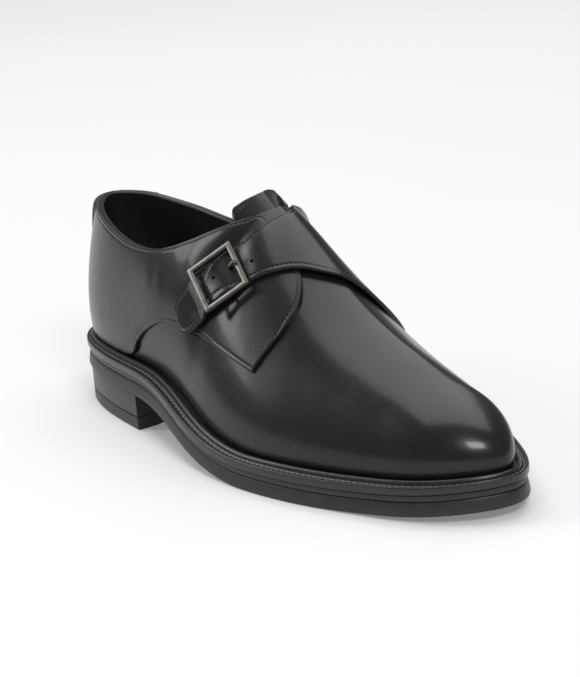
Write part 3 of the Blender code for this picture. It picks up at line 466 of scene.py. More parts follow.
def settled_mesh(held: bpy.types.Object) -> Mesh:
    """A plain mesh of an object as its modifiers leave it."""
    bpy.context.view_layer.update()
    graph = bpy.context.evaluated_depsgraph_get()
    return bpy.data.meshes.new_from_object(held.evaluated_get(graph))


def make_triangles(mesh: Mesh) -> None:
    """Turn a mesh's faces into triangles, without any of no area."""
    bm = bmesh.new()
    bm.from_mesh(mesh)
    bmesh.ops.triangulate(bm, faces=bm.faces)
    bmesh.ops.dissolve_degenerate(bm, edges=bm.edges, dist=NO_LENGTH)
    bm.to_mesh(mesh)
    bm.free()


def cut_with(mesh: Mesh, cutter: Mesh,
             folded: bool = False) -> Mesh:
    """Cut one mesh out of another.

    Args:
        mesh: The mesh that is cut.
        cutter: The closed mesh that is taken away.
        folded: Whether the mesh touches itself somewhere.

    Returns:
        The rest, as triangles.
    """
    make_triangles(mesh)
    held = bpy.data.objects.new("held", mesh)
    knife = bpy.data.objects.new("knife", cutter)
    for item in (held, knife):
        bpy.context.scene.collection.objects.link(item)
    modifier = held.modifiers.new("Cut", "BOOLEAN")
    modifier.operation = "DIFFERENCE"
    modifier.solver = "EXACT"
    modifier.object = knife
    modifier.use_self = folded
    made = settled_mesh(held)
    for item in (held, knife):
        bpy.data.objects.remove(item)
    make_triangles(made)
    return made


def place_piece(piece: bpy.types.Object, slot: str, *nodes: str) -> None:
    """Hang a piece under the root body and hide the CAD nodes that it stands for.

    Args:
        piece: The finished piece.
        slot: Not used.
        nodes: CAD nodes that it replaces.
    """
    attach(piece, "root")
    if nodes:
        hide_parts(*nodes)
    LOG.info("%s: %d faces", piece.name, len(piece.data.polygons))


def lathe(profile: Rows, segments: int) -> Mesh:
    """A closed turned shape.

    Args:
        profile: Radius and height of each ring, closed on itself.
        segments: Faces round.

    Returns:
        The mesh about the Z axis, in metres.
    """
    angle = np.linspace(0, 2 * math.pi, segments, endpoint=False)
    ring = np.asarray(profile, float)
    points = np.stack([ring[None, :, 0] * np.cos(angle)[:, None],
                       ring[None, :, 0] * np.sin(angle)[:, None],
                       ring[None, :, 1] + 0 * angle[:, None]], -1)
    skin = Skin()
    skin.grid(points + np.array(SOLE.origin), close_rows=True, close_columns=True)
    return skin.mesh("turned")


RIM_ROOM = 0.6
# Strength of the cut-edge mark from the top of the rounded rim to its foot; the mark makes the rim
# paler, partly the raw edge's own tone and partly a painted highlight.
RIM_TONE_AND_HIGHLIGHT = (0.35, 1.0)


def rounded_sheet(skin: Skin, top: Array, bottom: Array, radius: float,
                  steps: int = 4) -> None:
    """A closed sheet between two grids, with its upper rim rounded over.

    Args:
        skin: Where it is added.
        top: The upper grid.
        bottom: The lower grid, of the same shape.
        radius: The rim's radius.
        steps: Faces round the rim.
    """
    inward = np.zeros_like(top)
    room = np.full(top.shape[:2], radius)
    for edge, inside in ((np.s_[0], np.s_[1]), (np.s_[-1], np.s_[-2]),
                         (np.s_[:, 0], np.s_[:, 1]), (np.s_[:, -1], np.s_[:, -2])):
        way = top[inside] - top[edge]
        inward[edge] += unit(way)
        room[edge] = np.minimum(room[edge], RIM_ROOM * np.linalg.norm(way, axis=-1))
    inward *= room[..., None] / radius
    up = unit(top - bottom) * (room / radius)[..., None]
    start = skin.grid(top + inward * radius)
    low = skin.grid(bottom, flip=True)

    def rim(grid: Array) -> Array:
        """The points round a grid's border, in order."""
        return np.concatenate([grid[0, :-1], grid[:-1, -1], grid[-1, :0:-1], grid[:0:-1, 0]])

    edge, deep, out, rise = rim(top), rim(bottom), rim(inward), rim(up)
    centre = edge + (out - rise) * radius
    rings = []
    for angle in np.linspace(0, math.pi / 2, steps + 1)[1:]:
        rings.append(centre + radius * (rise * math.cos(angle) - out * math.sin(angle)))
    wall = np.array(rings)
    strength = np.linspace(*RIM_TONE_AND_HIGHLIGHT, steps)[:, None]
    round_index = skin.grid(wall, mark=strength, close_columns=True, flip=True)
    first, last = rim(start), rim(low)
    for upper, lower in ((first, round_index[0]), (round_index[-1], last)):
        pair = np.stack([upper, lower])
        skin.join(np.hstack([pair, pair[:, :1]]), flip=True)


# ---- shader groups and finishes --------------------------------------------------------
Colour = tuple[float, float, float]
SocketSpec = tuple[str, str, float | Colour]


@dataclass
class NodeTree:
    """A node tree, with short ways to add and link nodes."""

    tree: Tree

    def add(self, kind: str, inputs: dict[str | int, object] | None = None,
            **settings: object) -> bpy.types.Node:
        """Add a node.

        Args:
            kind: The node's type.
            inputs: Values or output sockets for its inputs, by name or number.
            settings: Its properties.

        Returns:
            The node.
        """
        node = self.tree.nodes.new(kind)
        for key, value in settings.items():
            setattr(node, key, value)
        for key, value in (inputs or {}).items():
            socket = node.inputs[key]
            if isinstance(value, Socket):
                self.tree.links.new(value, socket)
            else:
                socket.default_value = value
        return node

    def math(self, operation: str, first: object, second: object = 0.5,
             third: object = 0.0) -> Socket:
        """A Math node's result."""
        node = self.add("ShaderNodeMath", {0: first, 1: second, 2: third}, operation=operation)
        return node.outputs[0]

    def ramp(self, value: object, low: float, high: float, to_low: float,
             to_high: float) -> Socket:
        """A value moved smoothly from one range to another."""
        node = self.add("ShaderNodeMapRange", {"Value": value, "From Min": low, "From Max": high,
                                               "To Min": to_low, "To Max": to_high},
                        interpolation_type="SMOOTHSTEP")
        return node.outputs["Result"]

    def blend(self, factor: object, first: object, second: object) -> Socket:
        """A colour between two colours."""
        node = self.tree.nodes.new("ShaderNodeMix")
        node.data_type = "RGBA"
        for socket, value in ((node.inputs[0], factor), (node.inputs[6], first),
                              (node.inputs[7], second)):
            if isinstance(value, Socket):
                self.tree.links.new(value, socket)
            else:
                socket.default_value = (*value, 1.0) if isinstance(value, tuple) else value
        return node.outputs[2]

    def noise(self, where: object, scale: object, detail: float = 2.0,
              roughness: float = 0.5) -> Socket:
        """A noise texture's value, for a scale in cycles a metre."""
        node = self.add("ShaderNodeTexNoise", {"Vector": where, "Scale": scale,
                                               "Detail": detail, "Roughness": roughness})
        return node.outputs["Fac"]


class SurfaceGroup(Enum):
    """The shared effects, each built once as a node group."""

    LEATHER = "leather grain"
    RUBBER = "moulded rubber"
    THREAD = "twisted thread"
    SATIN = "satin metal"
    CUT_EDGE = "cut edge"


GROUP_INPUTS: dict[SurfaceGroup, tuple[SocketSpec, ...]] = {
    SurfaceGroup.LEATHER: (
        ("Colour", "NodeSocketColor", (0.01, 0.01, 0.011)), ("Roughness", "NodeSocketFloat", 0.25),
        ("Pore Scale", "NodeSocketFloat", 1500.0), ("Pore Depth", "NodeSocketFloat", 0.35),
        ("Unevenness", "NodeSocketFloat", 0.5), ("Polish Loss", "NodeSocketFloat", 0.08)),
    SurfaceGroup.RUBBER: (
        ("Colour", "NodeSocketColor", (0.012, 0.012, 0.013)),
        ("Roughness", "NodeSocketFloat", 0.5), ("Speck Scale", "NodeSocketFloat", 1300.0),
        ("Mottle", "NodeSocketFloat", 0.3)),
    SurfaceGroup.THREAD: (
        ("Colour", "NodeSocketColor", (0.01, 0.01, 0.011)),
        ("Ply Scale", "NodeSocketFloat", 900.0)),
    SurfaceGroup.SATIN: (
        ("Colour", "NodeSocketColor", (0.4, 0.37, 0.34)), ("Roughness", "NodeSocketFloat", 0.3),
        ("Brush Scale", "NodeSocketFloat", 1800.0)),
    SurfaceGroup.CUT_EDGE: (
        ("Colour", "NodeSocketColor", (0.01, 0.01, 0.011)),
        ("Edge Colour", "NodeSocketColor", (0.02, 0.02, 0.02)),
        ("Roughness", "NodeSocketFloat", 0.25), ("Edge Roughness", "NodeSocketFloat", 0.5)),
}


def surface_group(kind: SurfaceGroup) -> Tree:
    """The node group of an effect, built the first time it is asked for.

    Args:
        kind: Which effect.

    Returns:
        A shader group with the outputs Colour, Roughness and Height.
    """
    if kind.value in bpy.data.node_groups:
        return bpy.data.node_groups[kind.value]
    group = bpy.data.node_groups.new(kind.value, "ShaderNodeTree")
    for name, socket_type, value in GROUP_INPUTS[kind]:
        socket = group.interface.new_socket(name, in_out="INPUT", socket_type=socket_type)
        socket.default_value = (*value, 1.0) if isinstance(value, tuple) else value
    for name, socket_type in (("Colour", "NodeSocketColor"), ("Roughness", "NodeSocketFloat"),
                              ("Height", "NodeSocketFloat")):
        group.interface.new_socket(name, in_out="OUTPUT", socket_type=socket_type)
    nodes = NodeTree(group)
    given = nodes.add("NodeGroupInput").outputs
    where = nodes.add("ShaderNodeTexCoord").outputs["Object"]
    builders = {SurfaceGroup.LEATHER: leather_effect, SurfaceGroup.RUBBER: rubber_effect,
                SurfaceGroup.THREAD: thread_effect, SurfaceGroup.SATIN: satin_effect,
                SurfaceGroup.CUT_EDGE: cut_edge_effect}
    colour, roughness, height = builders[kind](nodes, given, where)
    nodes.add("NodeGroupOutput", {"Colour": colour, "Roughness": roughness, "Height": height})
    return group


Effect = tuple[object, object, object]


def leather_effect(nodes: NodeTree, given: object, where: object) -> Effect:
    """Fine pores, a slow unevenness and patches that have lost a little polish."""
    pores = nodes.add("ShaderNodeTexVoronoi", {"Vector": where, "Scale": given["Pore Scale"]},
                      feature="SMOOTH_F1").outputs["Distance"]
    fine = nodes.noise(where, given["Pore Scale"], 3.0, 0.6)
    slow = nodes.noise(where, 55.0, 2.0)
    wide = nodes.noise(where, 21.0, 3.0, 0.55)
    rub = nodes.noise(where, 210.0, 4.0, 0.65)
    pore = nodes.math("MULTIPLY", nodes.math("ADD", pores, fine), given["Pore Depth"])
    swell = nodes.math("MULTIPLY", slow, given["Unevenness"])
    height = nodes.math("MULTIPLY_ADD", pore, 0.012, swell)
    patch = nodes.math("MULTIPLY", nodes.ramp(wide, 0.38, 0.68, 0.0, 1.0),
                       nodes.ramp(rub, 0.3, 0.75, 0.4, 1.0))
    rough = nodes.math("MULTIPLY_ADD", patch, given["Polish Loss"], given["Roughness"])
    lighter = nodes.blend(1.0, given["Colour"], (1.35, 1.3, 1.25))
    lighter.node.blend_type = "MULTIPLY"
    return nodes.blend(patch, given["Colour"], lighter), rough, height


def rubber_effect(nodes: NodeTree, given: object, where: object) -> Effect:
    """Fine specks of the moulding and a faint greyer mottle."""
    speck = nodes.noise(where, given["Speck Scale"], 3.0, 0.65)
    patch = nodes.ramp(nodes.noise(where, 160.0, 5.0, 0.7), 0.42, 0.72, 0.0, 1.0)
    slow = nodes.ramp(nodes.noise(where, 34.0, 2.0), 0.35, 0.7, 0.0, 1.0)
    mask = nodes.math("MULTIPLY", nodes.math("MULTIPLY", patch, slow), given["Mottle"])
    greyer = nodes.blend(mask, given["Colour"], (0.055, 0.054, 0.052))
    rough = nodes.math("MULTIPLY_ADD", nodes.math("SUBTRACT", speck, 0.5), 0.22,
                       given["Roughness"])
    height = nodes.math("MULTIPLY_ADD", patch, 0.25, speck)
    return greyer, rough, height


def thread_effect(nodes: NodeTree, given: object, where: object) -> Effect:
    """The plies of a twisted thread, with a painted highlight on their backs."""
    ply = nodes.add("ShaderNodeTexWave", {"Vector": where, "Scale": given["Ply Scale"],
                                          "Distortion": 2.0}, bands_direction="DIAGONAL")
    band = ply.outputs["Fac"]
    # The paler colour on the crests of the plies is a painted highlight.
    painted_ply_highlight = nodes.blend(1.0, given["Colour"], (1.9, 1.85, 1.8))
    painted_ply_highlight.node.blend_type = "MULTIPLY"
    return nodes.blend(band, given["Colour"], painted_ply_highlight), nodes.ramp(band, 0, 1, 0.62, 0.48), band


def satin_effect(nodes: NodeTree, given: object, where: object) -> Effect:
    """Fine brushing and slightly darker handling marks."""
    stretch = nodes.add("ShaderNodeMapping", {"Vector": where, "Scale": (1.0, 1.0, 0.12)})
    brush = nodes.noise(stretch.outputs[0], given["Brush Scale"], 3.0, 0.7)
    marks = nodes.ramp(nodes.noise(where, 240.0, 3.0, 0.6), 0.4, 0.75, 0.0, 1.0)
    darker = nodes.blend(1.0, given["Colour"], (0.72, 0.70, 0.68))
    darker.node.blend_type = "MULTIPLY"
    rough = nodes.math("MULTIPLY_ADD", brush, 0.16, given["Roughness"])
    return nodes.blend(marks, given["Colour"], darker), rough, brush


def cut_edge_effect(nodes: NodeTree, given: object, where: object) -> Effect:
    """The rim of a cut piece: dressed, but duller and paler than its face; the paler colour is
    partly the raw edge's own tone and partly a painted highlight along the edge.
    """
    mark = nodes.add("ShaderNodeAttribute", attribute_name="cut_edge").outputs["Fac"]
    patchy_rim = nodes.ramp(nodes.noise(where, 420.0, 3.0), 0.2, 0.8, 0.65, 1.0)
    # The mark lightens the rim, partly the raw edge's own tone and partly a painted highlight;
    # noise varies it at random along the edge.
    rim = nodes.math("MULTIPLY", nodes.ramp(mark, 0.3, 0.95, 0.0, 1.0), patchy_rim)
    spread = nodes.math("SUBTRACT", given["Edge Roughness"], given["Roughness"])
    rough = nodes.math("MULTIPLY_ADD", rim, spread, given["Roughness"])
    return nodes.blend(rim, given["Colour"], given["Edge Colour"]), rough, rim


def finished(name: str, kind: SurfaceGroup, values: dict[str, object], relief: float,
             bump_mm: float, edge: Colour | None, **shader: object) -> Material:
    """A material from one effect, with or without dressed cut edges.

    Args:
        name: The material's name.
        kind: Its effect.
        values: The effect's inputs.
        relief: Strength of the bump.
        bump_mm: Height of the bump in millimetres.
        edge: Colour of the cut edges, paler partly by their own tone and partly by a painted
            highlight.
        shader: Values for the Principled shader's own sockets.

    Returns:
        The material.
    """
    made = bpy.data.materials.new(name)
    made.use_nodes = True
    nodes = NodeTree(made.node_tree)
    principled = made.node_tree.nodes["Principled BSDF"]
    group = nodes.add("ShaderNodeGroup", node_tree=surface_group(kind))
    for key, value in values.items():
        group.inputs[key].default_value = (*value, 1.0) if isinstance(value, tuple) else value
    colour, rough, height = (group.outputs[k] for k in ("Colour", "Roughness", "Height"))
    if edge is not None:
        rim = nodes.add("ShaderNodeGroup", {"Colour": colour, "Roughness": rough},
                        node_tree=surface_group(SurfaceGroup.CUT_EDGE))
        rim.inputs["Edge Colour"].default_value = (*edge, 1.0)
        colour, rough = rim.outputs["Colour"], rim.outputs["Roughness"]
    lifted = nodes.add("ShaderNodeBump", {"Height": height, "Strength": relief,
                                          "Distance": bump_mm * MM})
    made.node_tree.links.new(colour, principled.inputs["Base Color"])
    made.node_tree.links.new(rough, principled.inputs["Roughness"])
    made.node_tree.links.new(lifted.outputs["Normal"], principled.inputs["Normal"])
    for key, value in shader.items():
        principled.inputs[key.replace("_", " ")].default_value = value
    return made


@dataclass(frozen=True)
class Finish:
    """A finish of one effect; its fields fill the effect's inputs of the same names."""

    effect: ClassVar[SurfaceGroup]
    bump_mm: ClassVar[float]
    name: str

    def make(self) -> Material:
        """The finish's material."""
        values = {title: getattr(self, title.lower().replace(" ", "_"))
                  for title, socket_type, value in GROUP_INPUTS[self.effect]}
        return finished(self.name, self.effect, values, self.relief, self.bump_mm,
                        self.edge, **self.shader())

    def shader(self) -> dict[str, float]:
        """Values for the shader's own sockets."""
        return {}


@dataclass(frozen=True)
class LeatherFinish(Finish):
    """A dyed and polished leather."""

    effect: ClassVar[SurfaceGroup] = SurfaceGroup.LEATHER
    bump_mm: ClassVar[float] = 1.0
    colour: Colour = (0.0065, 0.0067, 0.0075)
    roughness: float = 0.27
    pore_scale: float = 1500.0
    pore_depth: float = 0.35
    unevenness: float = 0.5
    polish_loss: float = 0.06
    specular: float = 0.3
    coat: float = 0.2
    coat_roughness: float = 0.12
    relief: float = 0.4
    # Colour of the cut edges: paler than the face, partly the raw edge's own tone and partly a
    # painted highlight along the edge.
    edge: Colour | None = (0.03, 0.03, 0.031)

    def shader(self) -> dict[str, float]:
        """The polish over the dye."""
        return {"Specular_IOR_Level": self.specular, "Coat_Weight": self.coat,
                "Coat_Roughness": self.coat_roughness}


@dataclass(frozen=True)
class RubberFinish(Finish):
    """A moulded black rubber."""

    effect: ClassVar[SurfaceGroup] = SurfaceGroup.RUBBER
    bump_mm: ClassVar[float] = 0.12
    colour: Colour = (0.0125, 0.0127, 0.0135)
    roughness: float = 0.46
    speck_scale: float = 1300.0
    mottle: float = 0.3
    relief: float = 0.25
    edge: Colour | None = None


@dataclass(frozen=True)
class ThreadFinish(Finish):
    """A twisted sewing thread."""

    effect: ClassVar[SurfaceGroup] = SurfaceGroup.THREAD
    bump_mm: ClassVar[float] = 0.08
    colour: Colour = (0.05, 0.05, 0.052)
    ply_scale: float = 900.0
    relief: float = 0.3
    edge: Colour | None = None


@dataclass(frozen=True)
class MetalFinish(Finish):
    """A plated metal with a satin surface."""

    effect: ClassVar[SurfaceGroup] = SurfaceGroup.SATIN
    bump_mm: ClassVar[float] = 0.03
    colour: Colour = (0.2, 0.178, 0.158)
    roughness: float = 0.24
    brush_scale: float = 2400.0
    relief: float = 0.15
    edge: Colour | None = None

    def shader(self) -> dict[str, float]:
        """Bare metal."""
        return {"Metallic": 1.0}


def made_of(finish: Finish) -> Material:
    """A field whose value is the finish's material."""
    return field(default_factory=finish.make)


LINED = {"coat": 0.0, "edge": (0.02, 0.02, 0.02)}


@dataclass
class Finishes:
    """Every material of the shoe, made once."""

    vamp: Material = made_of(LeatherFinish("vamp leather"))
    quarter: Material = made_of(LeatherFinish(
        "quarter leather", roughness=0.29, unevenness=0.7))
    strap: Material = made_of(LeatherFinish("strap leather", roughness=0.25, unevenness=0.6))
    strip: Material = made_of(LeatherFinish("back strip leather"))
    tongue: Material = made_of(LeatherFinish("tongue leather", roughness=0.31))
    lining: Material = made_of(LeatherFinish(
        "lining leather", colour=(0.011, 0.011, 0.0115), roughness=0.58, pore_scale=1100.0,
        pore_depth=1.2, **LINED))
    sock: Material = made_of(LeatherFinish(
        "sock leather", colour=(0.012, 0.012, 0.012), roughness=0.62, pore_scale=900.0,
        pore_depth=1.4, **LINED))
    sole: Material = made_of(RubberFinish("sole rubber"))
    heel: Material = made_of(RubberFinish("heel rubber", roughness=0.4, mottle=0.2))
    welt: Material = made_of(RubberFinish("welt", roughness=0.3, mottle=0.1, relief=0.15))
    thread: Material = made_of(ThreadFinish("black thread"))
    welt_thread: Material = made_of(ThreadFinish("grey welt thread", (0.11, 0.11, 0.108)))
    sole_thread: Material = made_of(ThreadFinish("sole thread", (0.035, 0.035, 0.035)))
    metal: Material = made_of(MetalFinish("buckle plating"))


# ---- what is set out by rule -----------------------------------------------------------
@dataclass
class Seam:
    """One row of stitches: points along it and the way out of the leather, table units."""

    points: Array
    out: Array
    closed: bool = False


@dataclass(frozen=True)
class Stitch:
    """One stitch: the pitch from it to the next and its own sizes, in millimetres."""

    pitch: float
    length: float
    width: float
    height: float


@dataclass
class SettingOut:
    """Geometry Nodes trees that lay stitches along paths and set parts out on points."""

    seed: int = 7

    def interface(self, name: str, inputs: tuple[tuple[str, str], ...]) -> NodeTree:
        """A new tree with named inputs and one geometry output."""
        tree = bpy.data.node_groups.new(name, "GeometryNodeTree")
        tree.interface.new_socket("Geometry", in_out="INPUT", socket_type="NodeSocketGeometry")
        for title, kind in inputs:
            tree.interface.new_socket(title, in_out="INPUT", socket_type=kind)
        tree.interface.new_socket("Geometry", in_out="OUTPUT", socket_type="NodeSocketGeometry")
        return NodeTree(tree)

    def stitch_tree(self) -> Tree:
        """The tree that lays stitches along a path of edges, built once."""
        if "stitch row" in bpy.data.node_groups:
            return bpy.data.node_groups["stitch row"]
        nodes = self.interface("stitch row", (
            ("Pitch", "NodeSocketFloat"), ("Length", "NodeSocketFloat"),
            ("Width", "NodeSocketFloat"), ("Height", "NodeSocketFloat"),
            ("Material", "NodeSocketMaterial")))
        given = nodes.add("NodeGroupInput").outputs
        curve = nodes.add("GeometryNodeMeshToCurve", {"Mesh": given["Geometry"]})
        even = nodes.add("GeometryNodeResampleCurve", {
            "Curve": curve.outputs[0], "Length": given["Pitch"]}, mode="LENGTH")
        out = nodes.add("GeometryNodeInputNamedAttribute", {"Name": "out"},
                        data_type="FLOAT_VECTOR").outputs[0]
        tangent = nodes.add("GeometryNodeInputTangent").outputs[0]
        along = nodes.add("FunctionNodeAlignRotationToVector", {"Vector": tangent}, axis="X")
        turned = nodes.add("FunctionNodeAlignRotationToVector", {
            "Rotation": along.outputs[0], "Vector": out}, axis="Z", pivot_axis="X")
        ball = nodes.add("GeometryNodeMeshUVSphere", {"Segments": 8, "Rings": 6, "Radius": 0.5})
        size = nodes.add("ShaderNodeCombineXYZ", {
            "X": given["Length"], "Y": given["Width"], "Z": given["Height"]})
        stitch = nodes.add("GeometryNodeTransform", {
            "Geometry": ball.outputs["Mesh"], "Scale": size.outputs[0]})
        uneven = nodes.add("FunctionNodeRandomValue", {
            "Min": (0.92, 0.92, 0.88), "Max": (1.06, 1.08, 1.1), "Seed": self.seed},
            data_type="FLOAT_VECTOR")
        laid = nodes.add("GeometryNodeInstanceOnPoints", {
            "Points": even.outputs[0], "Instance": stitch.outputs[0],
            "Rotation": turned.outputs[0], "Scale": uneven.outputs[0]})
        return self.end_tree(nodes, laid, given)

    def end_tree(self, nodes: NodeTree, laid: bpy.types.Node,
                 given: object) -> Tree:
        """Make the laid instances real, give them the material and end the tree."""
        real = nodes.add("GeometryNodeRealizeInstances", {"Geometry": laid.outputs[0]})
        dressed = nodes.add("GeometryNodeSetMaterial", {
            "Geometry": real.outputs[0], "Material": given["Material"]})
        nodes.add("NodeGroupOutput", {0: dressed.outputs[0]})
        return nodes.tree

    def spot_tree(self) -> Tree:
        """The tree that sets one part out on points, built once."""
        if "set out" in bpy.data.node_groups:
            return bpy.data.node_groups["set out"]
        nodes = self.interface("set out", (
            ("Part", "NodeSocketObject"), ("Material", "NodeSocketMaterial")))
        given = nodes.add("NodeGroupInput").outputs
        part = nodes.add("GeometryNodeObjectInfo", {"Object": given["Part"]})
        laid = nodes.add("GeometryNodeInstanceOnPoints", {
            "Points": given["Geometry"], "Instance": part.outputs["Geometry"]})
        return self.end_tree(nodes, laid, given)

    def run(self, tree: Tree, mesh: Mesh,
            values: dict[str, object]) -> Mesh:
        """Run a tree on a mesh.

        Args:
            tree: The tree.
            mesh: Its input.
            values: The tree's other inputs, by name.

        Returns:
            The result as a plain mesh.
        """
        held = bpy.data.objects.new("held", mesh)
        bpy.context.scene.collection.objects.link(held)
        modifier = held.modifiers.new("Set out", "NODES")
        modifier.node_group = tree
        for item in tree.interface.items_tree:
            if item.item_type == "SOCKET" and item.in_out == "INPUT" and item.name in values:
                modifier[item.identifier] = values[item.name]
        made = settled_mesh(held)
        held.modifiers.remove(modifier)
        bpy.data.objects.remove(held)
        return made

    def sew(self, name: str, seams: list[Seam], finish: Material,
            stitch: Stitch) -> bpy.types.Object:
        """Sew rows of stitches, as one piece.

        Args:
            name: The piece's name.
            seams: The rows.
            finish: The thread.
            stitch: The stitch that is repeated.

        Returns:
            The piece.
        """
        points, ways, edges = [], [], []
        for seam in seams:
            start = len(points)
            points.extend(SOLE.to_metres(seam.points).tolist())
            ways.extend(seam.out.tolist())
            edges.extend((k, k + 1) for k in range(start, len(points) - 1))
            if seam.closed:
                edges.append((len(points) - 1, start))
        path = bpy.data.meshes.new(name + "_path")
        path.from_pydata(points, edges, [])
        path.attributes.new("out", "FLOAT_VECTOR", "POINT").data.foreach_set(
            "vector", np.asarray(ways, float).reshape(-1))
        mesh = self.run(self.stitch_tree(), path, {
            "Pitch": stitch.pitch * MM, "Length": stitch.length * MM,
            "Width": stitch.width * MM, "Height": stitch.height * MM, "Material": finish})
        return new_piece(name, mesh, finish, 180.0)

    def spread(self, part: Mesh, spots: Array,
               finish: Material) -> Mesh:
        """Copies of a part, one on each spot in table millimetres, as one mesh."""
        model = bpy.data.objects.new("model", part)
        bpy.context.scene.collection.objects.link(model)
        points = bpy.data.meshes.new("spots")
        points.from_pydata(SOLE.to_metres(spots).tolist(), [], [])
        mesh = self.run(self.spot_tree(), points, {"Part": model, "Material": finish})
        bpy.data.objects.remove(model)
        return mesh


SETTING_OUT = SettingOut()
LEATHER_STITCH = Stitch(2.1, 1.65, 0.5, 0.42)
WELT_STITCH = Stitch(3.0, 2.5, 0.75, 0.6)
SOLE_STITCH = Stitch(4.6, 3.9, 1.0, 0.7)


# ---- sole unit -------------------------------------------------------------------------
DOWN = np.array([0.0, 0.0, -1.0])
UP = np.array([0.0, 0.0, 1.0])


@dataclass
class SoleUnit:
    """Outsole, midsole, storm welt, heel and sock; all sizes in millimetres."""

    stations: int = 170
    turn_weight: float = 40.0
    across: int = 22
    inner_loop: float = 12.0
    groove_inset: float = 8.6
    flare: float = 1.0
    midsole_step: float = 1.0
    lift: float = 6.3
    insole: float = 4.2
    welt_in: float = 3.0
    bead_out: float = 2.5
    bead_radius: float = 1.25
    bead_height: float = 1.7
    forepart_lugs: Rows = (
        (157.0, -29.0), (157.0, -7.0), (157.0, 15.0), (186.0, -28.5), (186.0, -4.0),
        (186.0, 20.5), (214.0, -23.0), (214.0, 0.0), (214.0, 23.0), (241.0, -16.0),
        (241.0, 5.0), (241.0, 25.0), (266.0, -3.0), (266.0, 15.0))
    heel_lugs: Rows = ((62.0, -26.5), (62.0, 10.5), (40.0, -6.0))
    heel_pins: Rows = (
        (75.0, -31.0), (51.0, -29.5), (74.0, -5.0), (76.0, 22.0), (52.0, 26.0),
        (30.0, -20.0), (17.0, 3.0), (30.0, 22.0))
    crescent: Rows = (
        (39.5, -20.0), (35.0, -13.6), (28.5, -9.5), (25.2, 3.0), (28.5, 13.5), (34.5, 16.5),
        (39.0, 23.0), (34.5, 29.8), (24.0, 28.0), (12.6, 16.5), (9.4, 3.0), (12.6, -12.5),
        (23.5, -25.5), (34.0, -27.6))
    lug_ring: Rows = (
        (6.1, -3.0), (6.1, -0.1), (6.45, 0.15), (6.6, 0.5), (6.7, 1.2), (6.95, 1.4),
        (8.2, 1.4), (8.5, 1.2), (8.7, 0.6), (8.95, 0.1), (8.95, -3.0))
    lug_eye: Rows = (
        (3.3, -3.0), (3.3, -0.05), (3.55, 0.25), (3.7, 0.45), (4.0, 0.45), (4.2, 0.25),
        (4.5, -0.05), (4.5, -3.0))
    pin_hole: Rows = (
        (0.0, -3.0), (0.0, 2.2), (0.9, 2.2), (1.05, 0.4), (1.5, -0.1), (1.5, -3.0))

    def side(self, side: Side, count: int, x_to: float | None = None) -> tuple[Array, Array, Array]:
        """Outline samples along one side, from the heel forwards.

        Args:
            side: Outer or inner.
            count: Steps between samples.
            x_to: Stop there, or run on to the toe.

        Returns:
            Points, outward normals and the welt's reach.
        """
        size = len(SOLE_LINE)
        back, tip = int(np.argmin(SOLE_LINE[:, 0])), int(np.argmax(SOLE_LINE[:, 0]))
        if side is Side.OUTER:
            order = np.arange(back, tip + (tip < back) * size + 1) % size
        else:
            order = np.arange(back, tip - (tip > back) * size - 1, -1) % size
        line, normal, reach = SOLE_LINE[order], SOLE_NORMAL[order], WELT_REACH[order]
        step = np.linalg.norm(np.diff(line, axis=0), axis=1)
        turn = np.linalg.norm(np.diff(normal, axis=0), axis=1)
        run = np.r_[0, np.cumsum(step + self.turn_weight * turn)]
        end = run[-1] if x_to is None else np.interp(x_to, line[:, 0], run)
        at = np.linspace(0, end, count + 1)
        points = np.stack([np.interp(at, run, line[:, k]) for k in (0, 1)], 1)
        normals = unit(np.stack([np.interp(at, run, normal[:, k]) for k in (0, 1)], 1))
        return points, normals, np.interp(at, run, reach)

    def layer(self, loops: tuple[Point, ...], floor: float | None, count: int,
              x_to: float | None = None, hollow: float = 0.0) -> Skin:
        """A solid layer of the sole.

        Args:
            loops: Each loop's share of the welt's reach and millimetres inside the
                outline, and its height, from the bottom's inner loop round the edge.
            floor: Height of the layer over the floor, or None to follow the outsole.
            count: Steps from the heel forwards.
            x_to: The layer's front edge, when it isn't the toe.
            hollow: How far that edge is hollowed.

        Returns:
            The gathered skin.
        """
        ring = {}
        for side in Side:
            line, normal, reach = self.side(side, count, x_to)
            inset = np.array([[share, inside] for share, inside, z in loops])
            total = reach[:, None] * inset[None, :, 0] + inset[None, :, 1]
            flat = line[:, None, :] - normal[:, None, :] * total[..., None]
            z = np.broadcast_to(np.array([loop[2] for loop in loops]), total.shape)
            ring[side] = np.concatenate([flat, z[..., None]], -1)
        outer, inner = ring[Side.OUTER], ring[Side.INNER]
        w = np.linspace(0, 1, self.across + 2)[1:-1][None, :, None]
        top = outer[:, -1:] * (1 - w) + inner[:, -1:] * w
        low = inner[:, :1] * (1 - w) + outer[:, :1] * w
        polygon = np.concatenate([outer, top, inner[:, ::-1], low], 1)
        if x_to is not None:
            share = np.linspace(0, 1, count + 1)[:, None]
            polygon[-1, :, 0] = x_to
            wide = (polygon[..., 1] - outer[:, :1, 1]) / (inner[:, :1, 1] - outer[:, :1, 1] + 1e-9)
            wide = np.clip(wide, 0, 1)
            polygon[..., 0] -= hollow * 4 * wide * (1 - wide) * share ** 2
        polygon[..., 2] += SOLE.bottom(polygon[..., 0]) if floor is None else floor
        skin = Skin()
        index = skin.grid(polygon, close_columns=True)
        if x_to is not None:
            size = len(loops)
            upper = index[-1, size - 1:size + self.across + 1]
            lower = np.r_[index[-1, 0], index[-1, :-self.across - 1:-1],
                          index[-1, 2 * size + self.across - 1]]
            skin.join(np.stack([upper, lower]))
            skin.faces.append(tuple(int(k) for k in index[-1, :size]))
            start = size + self.across
            skin.faces.append(tuple(int(k) for k in index[-1, start:start + size]))
        return skin

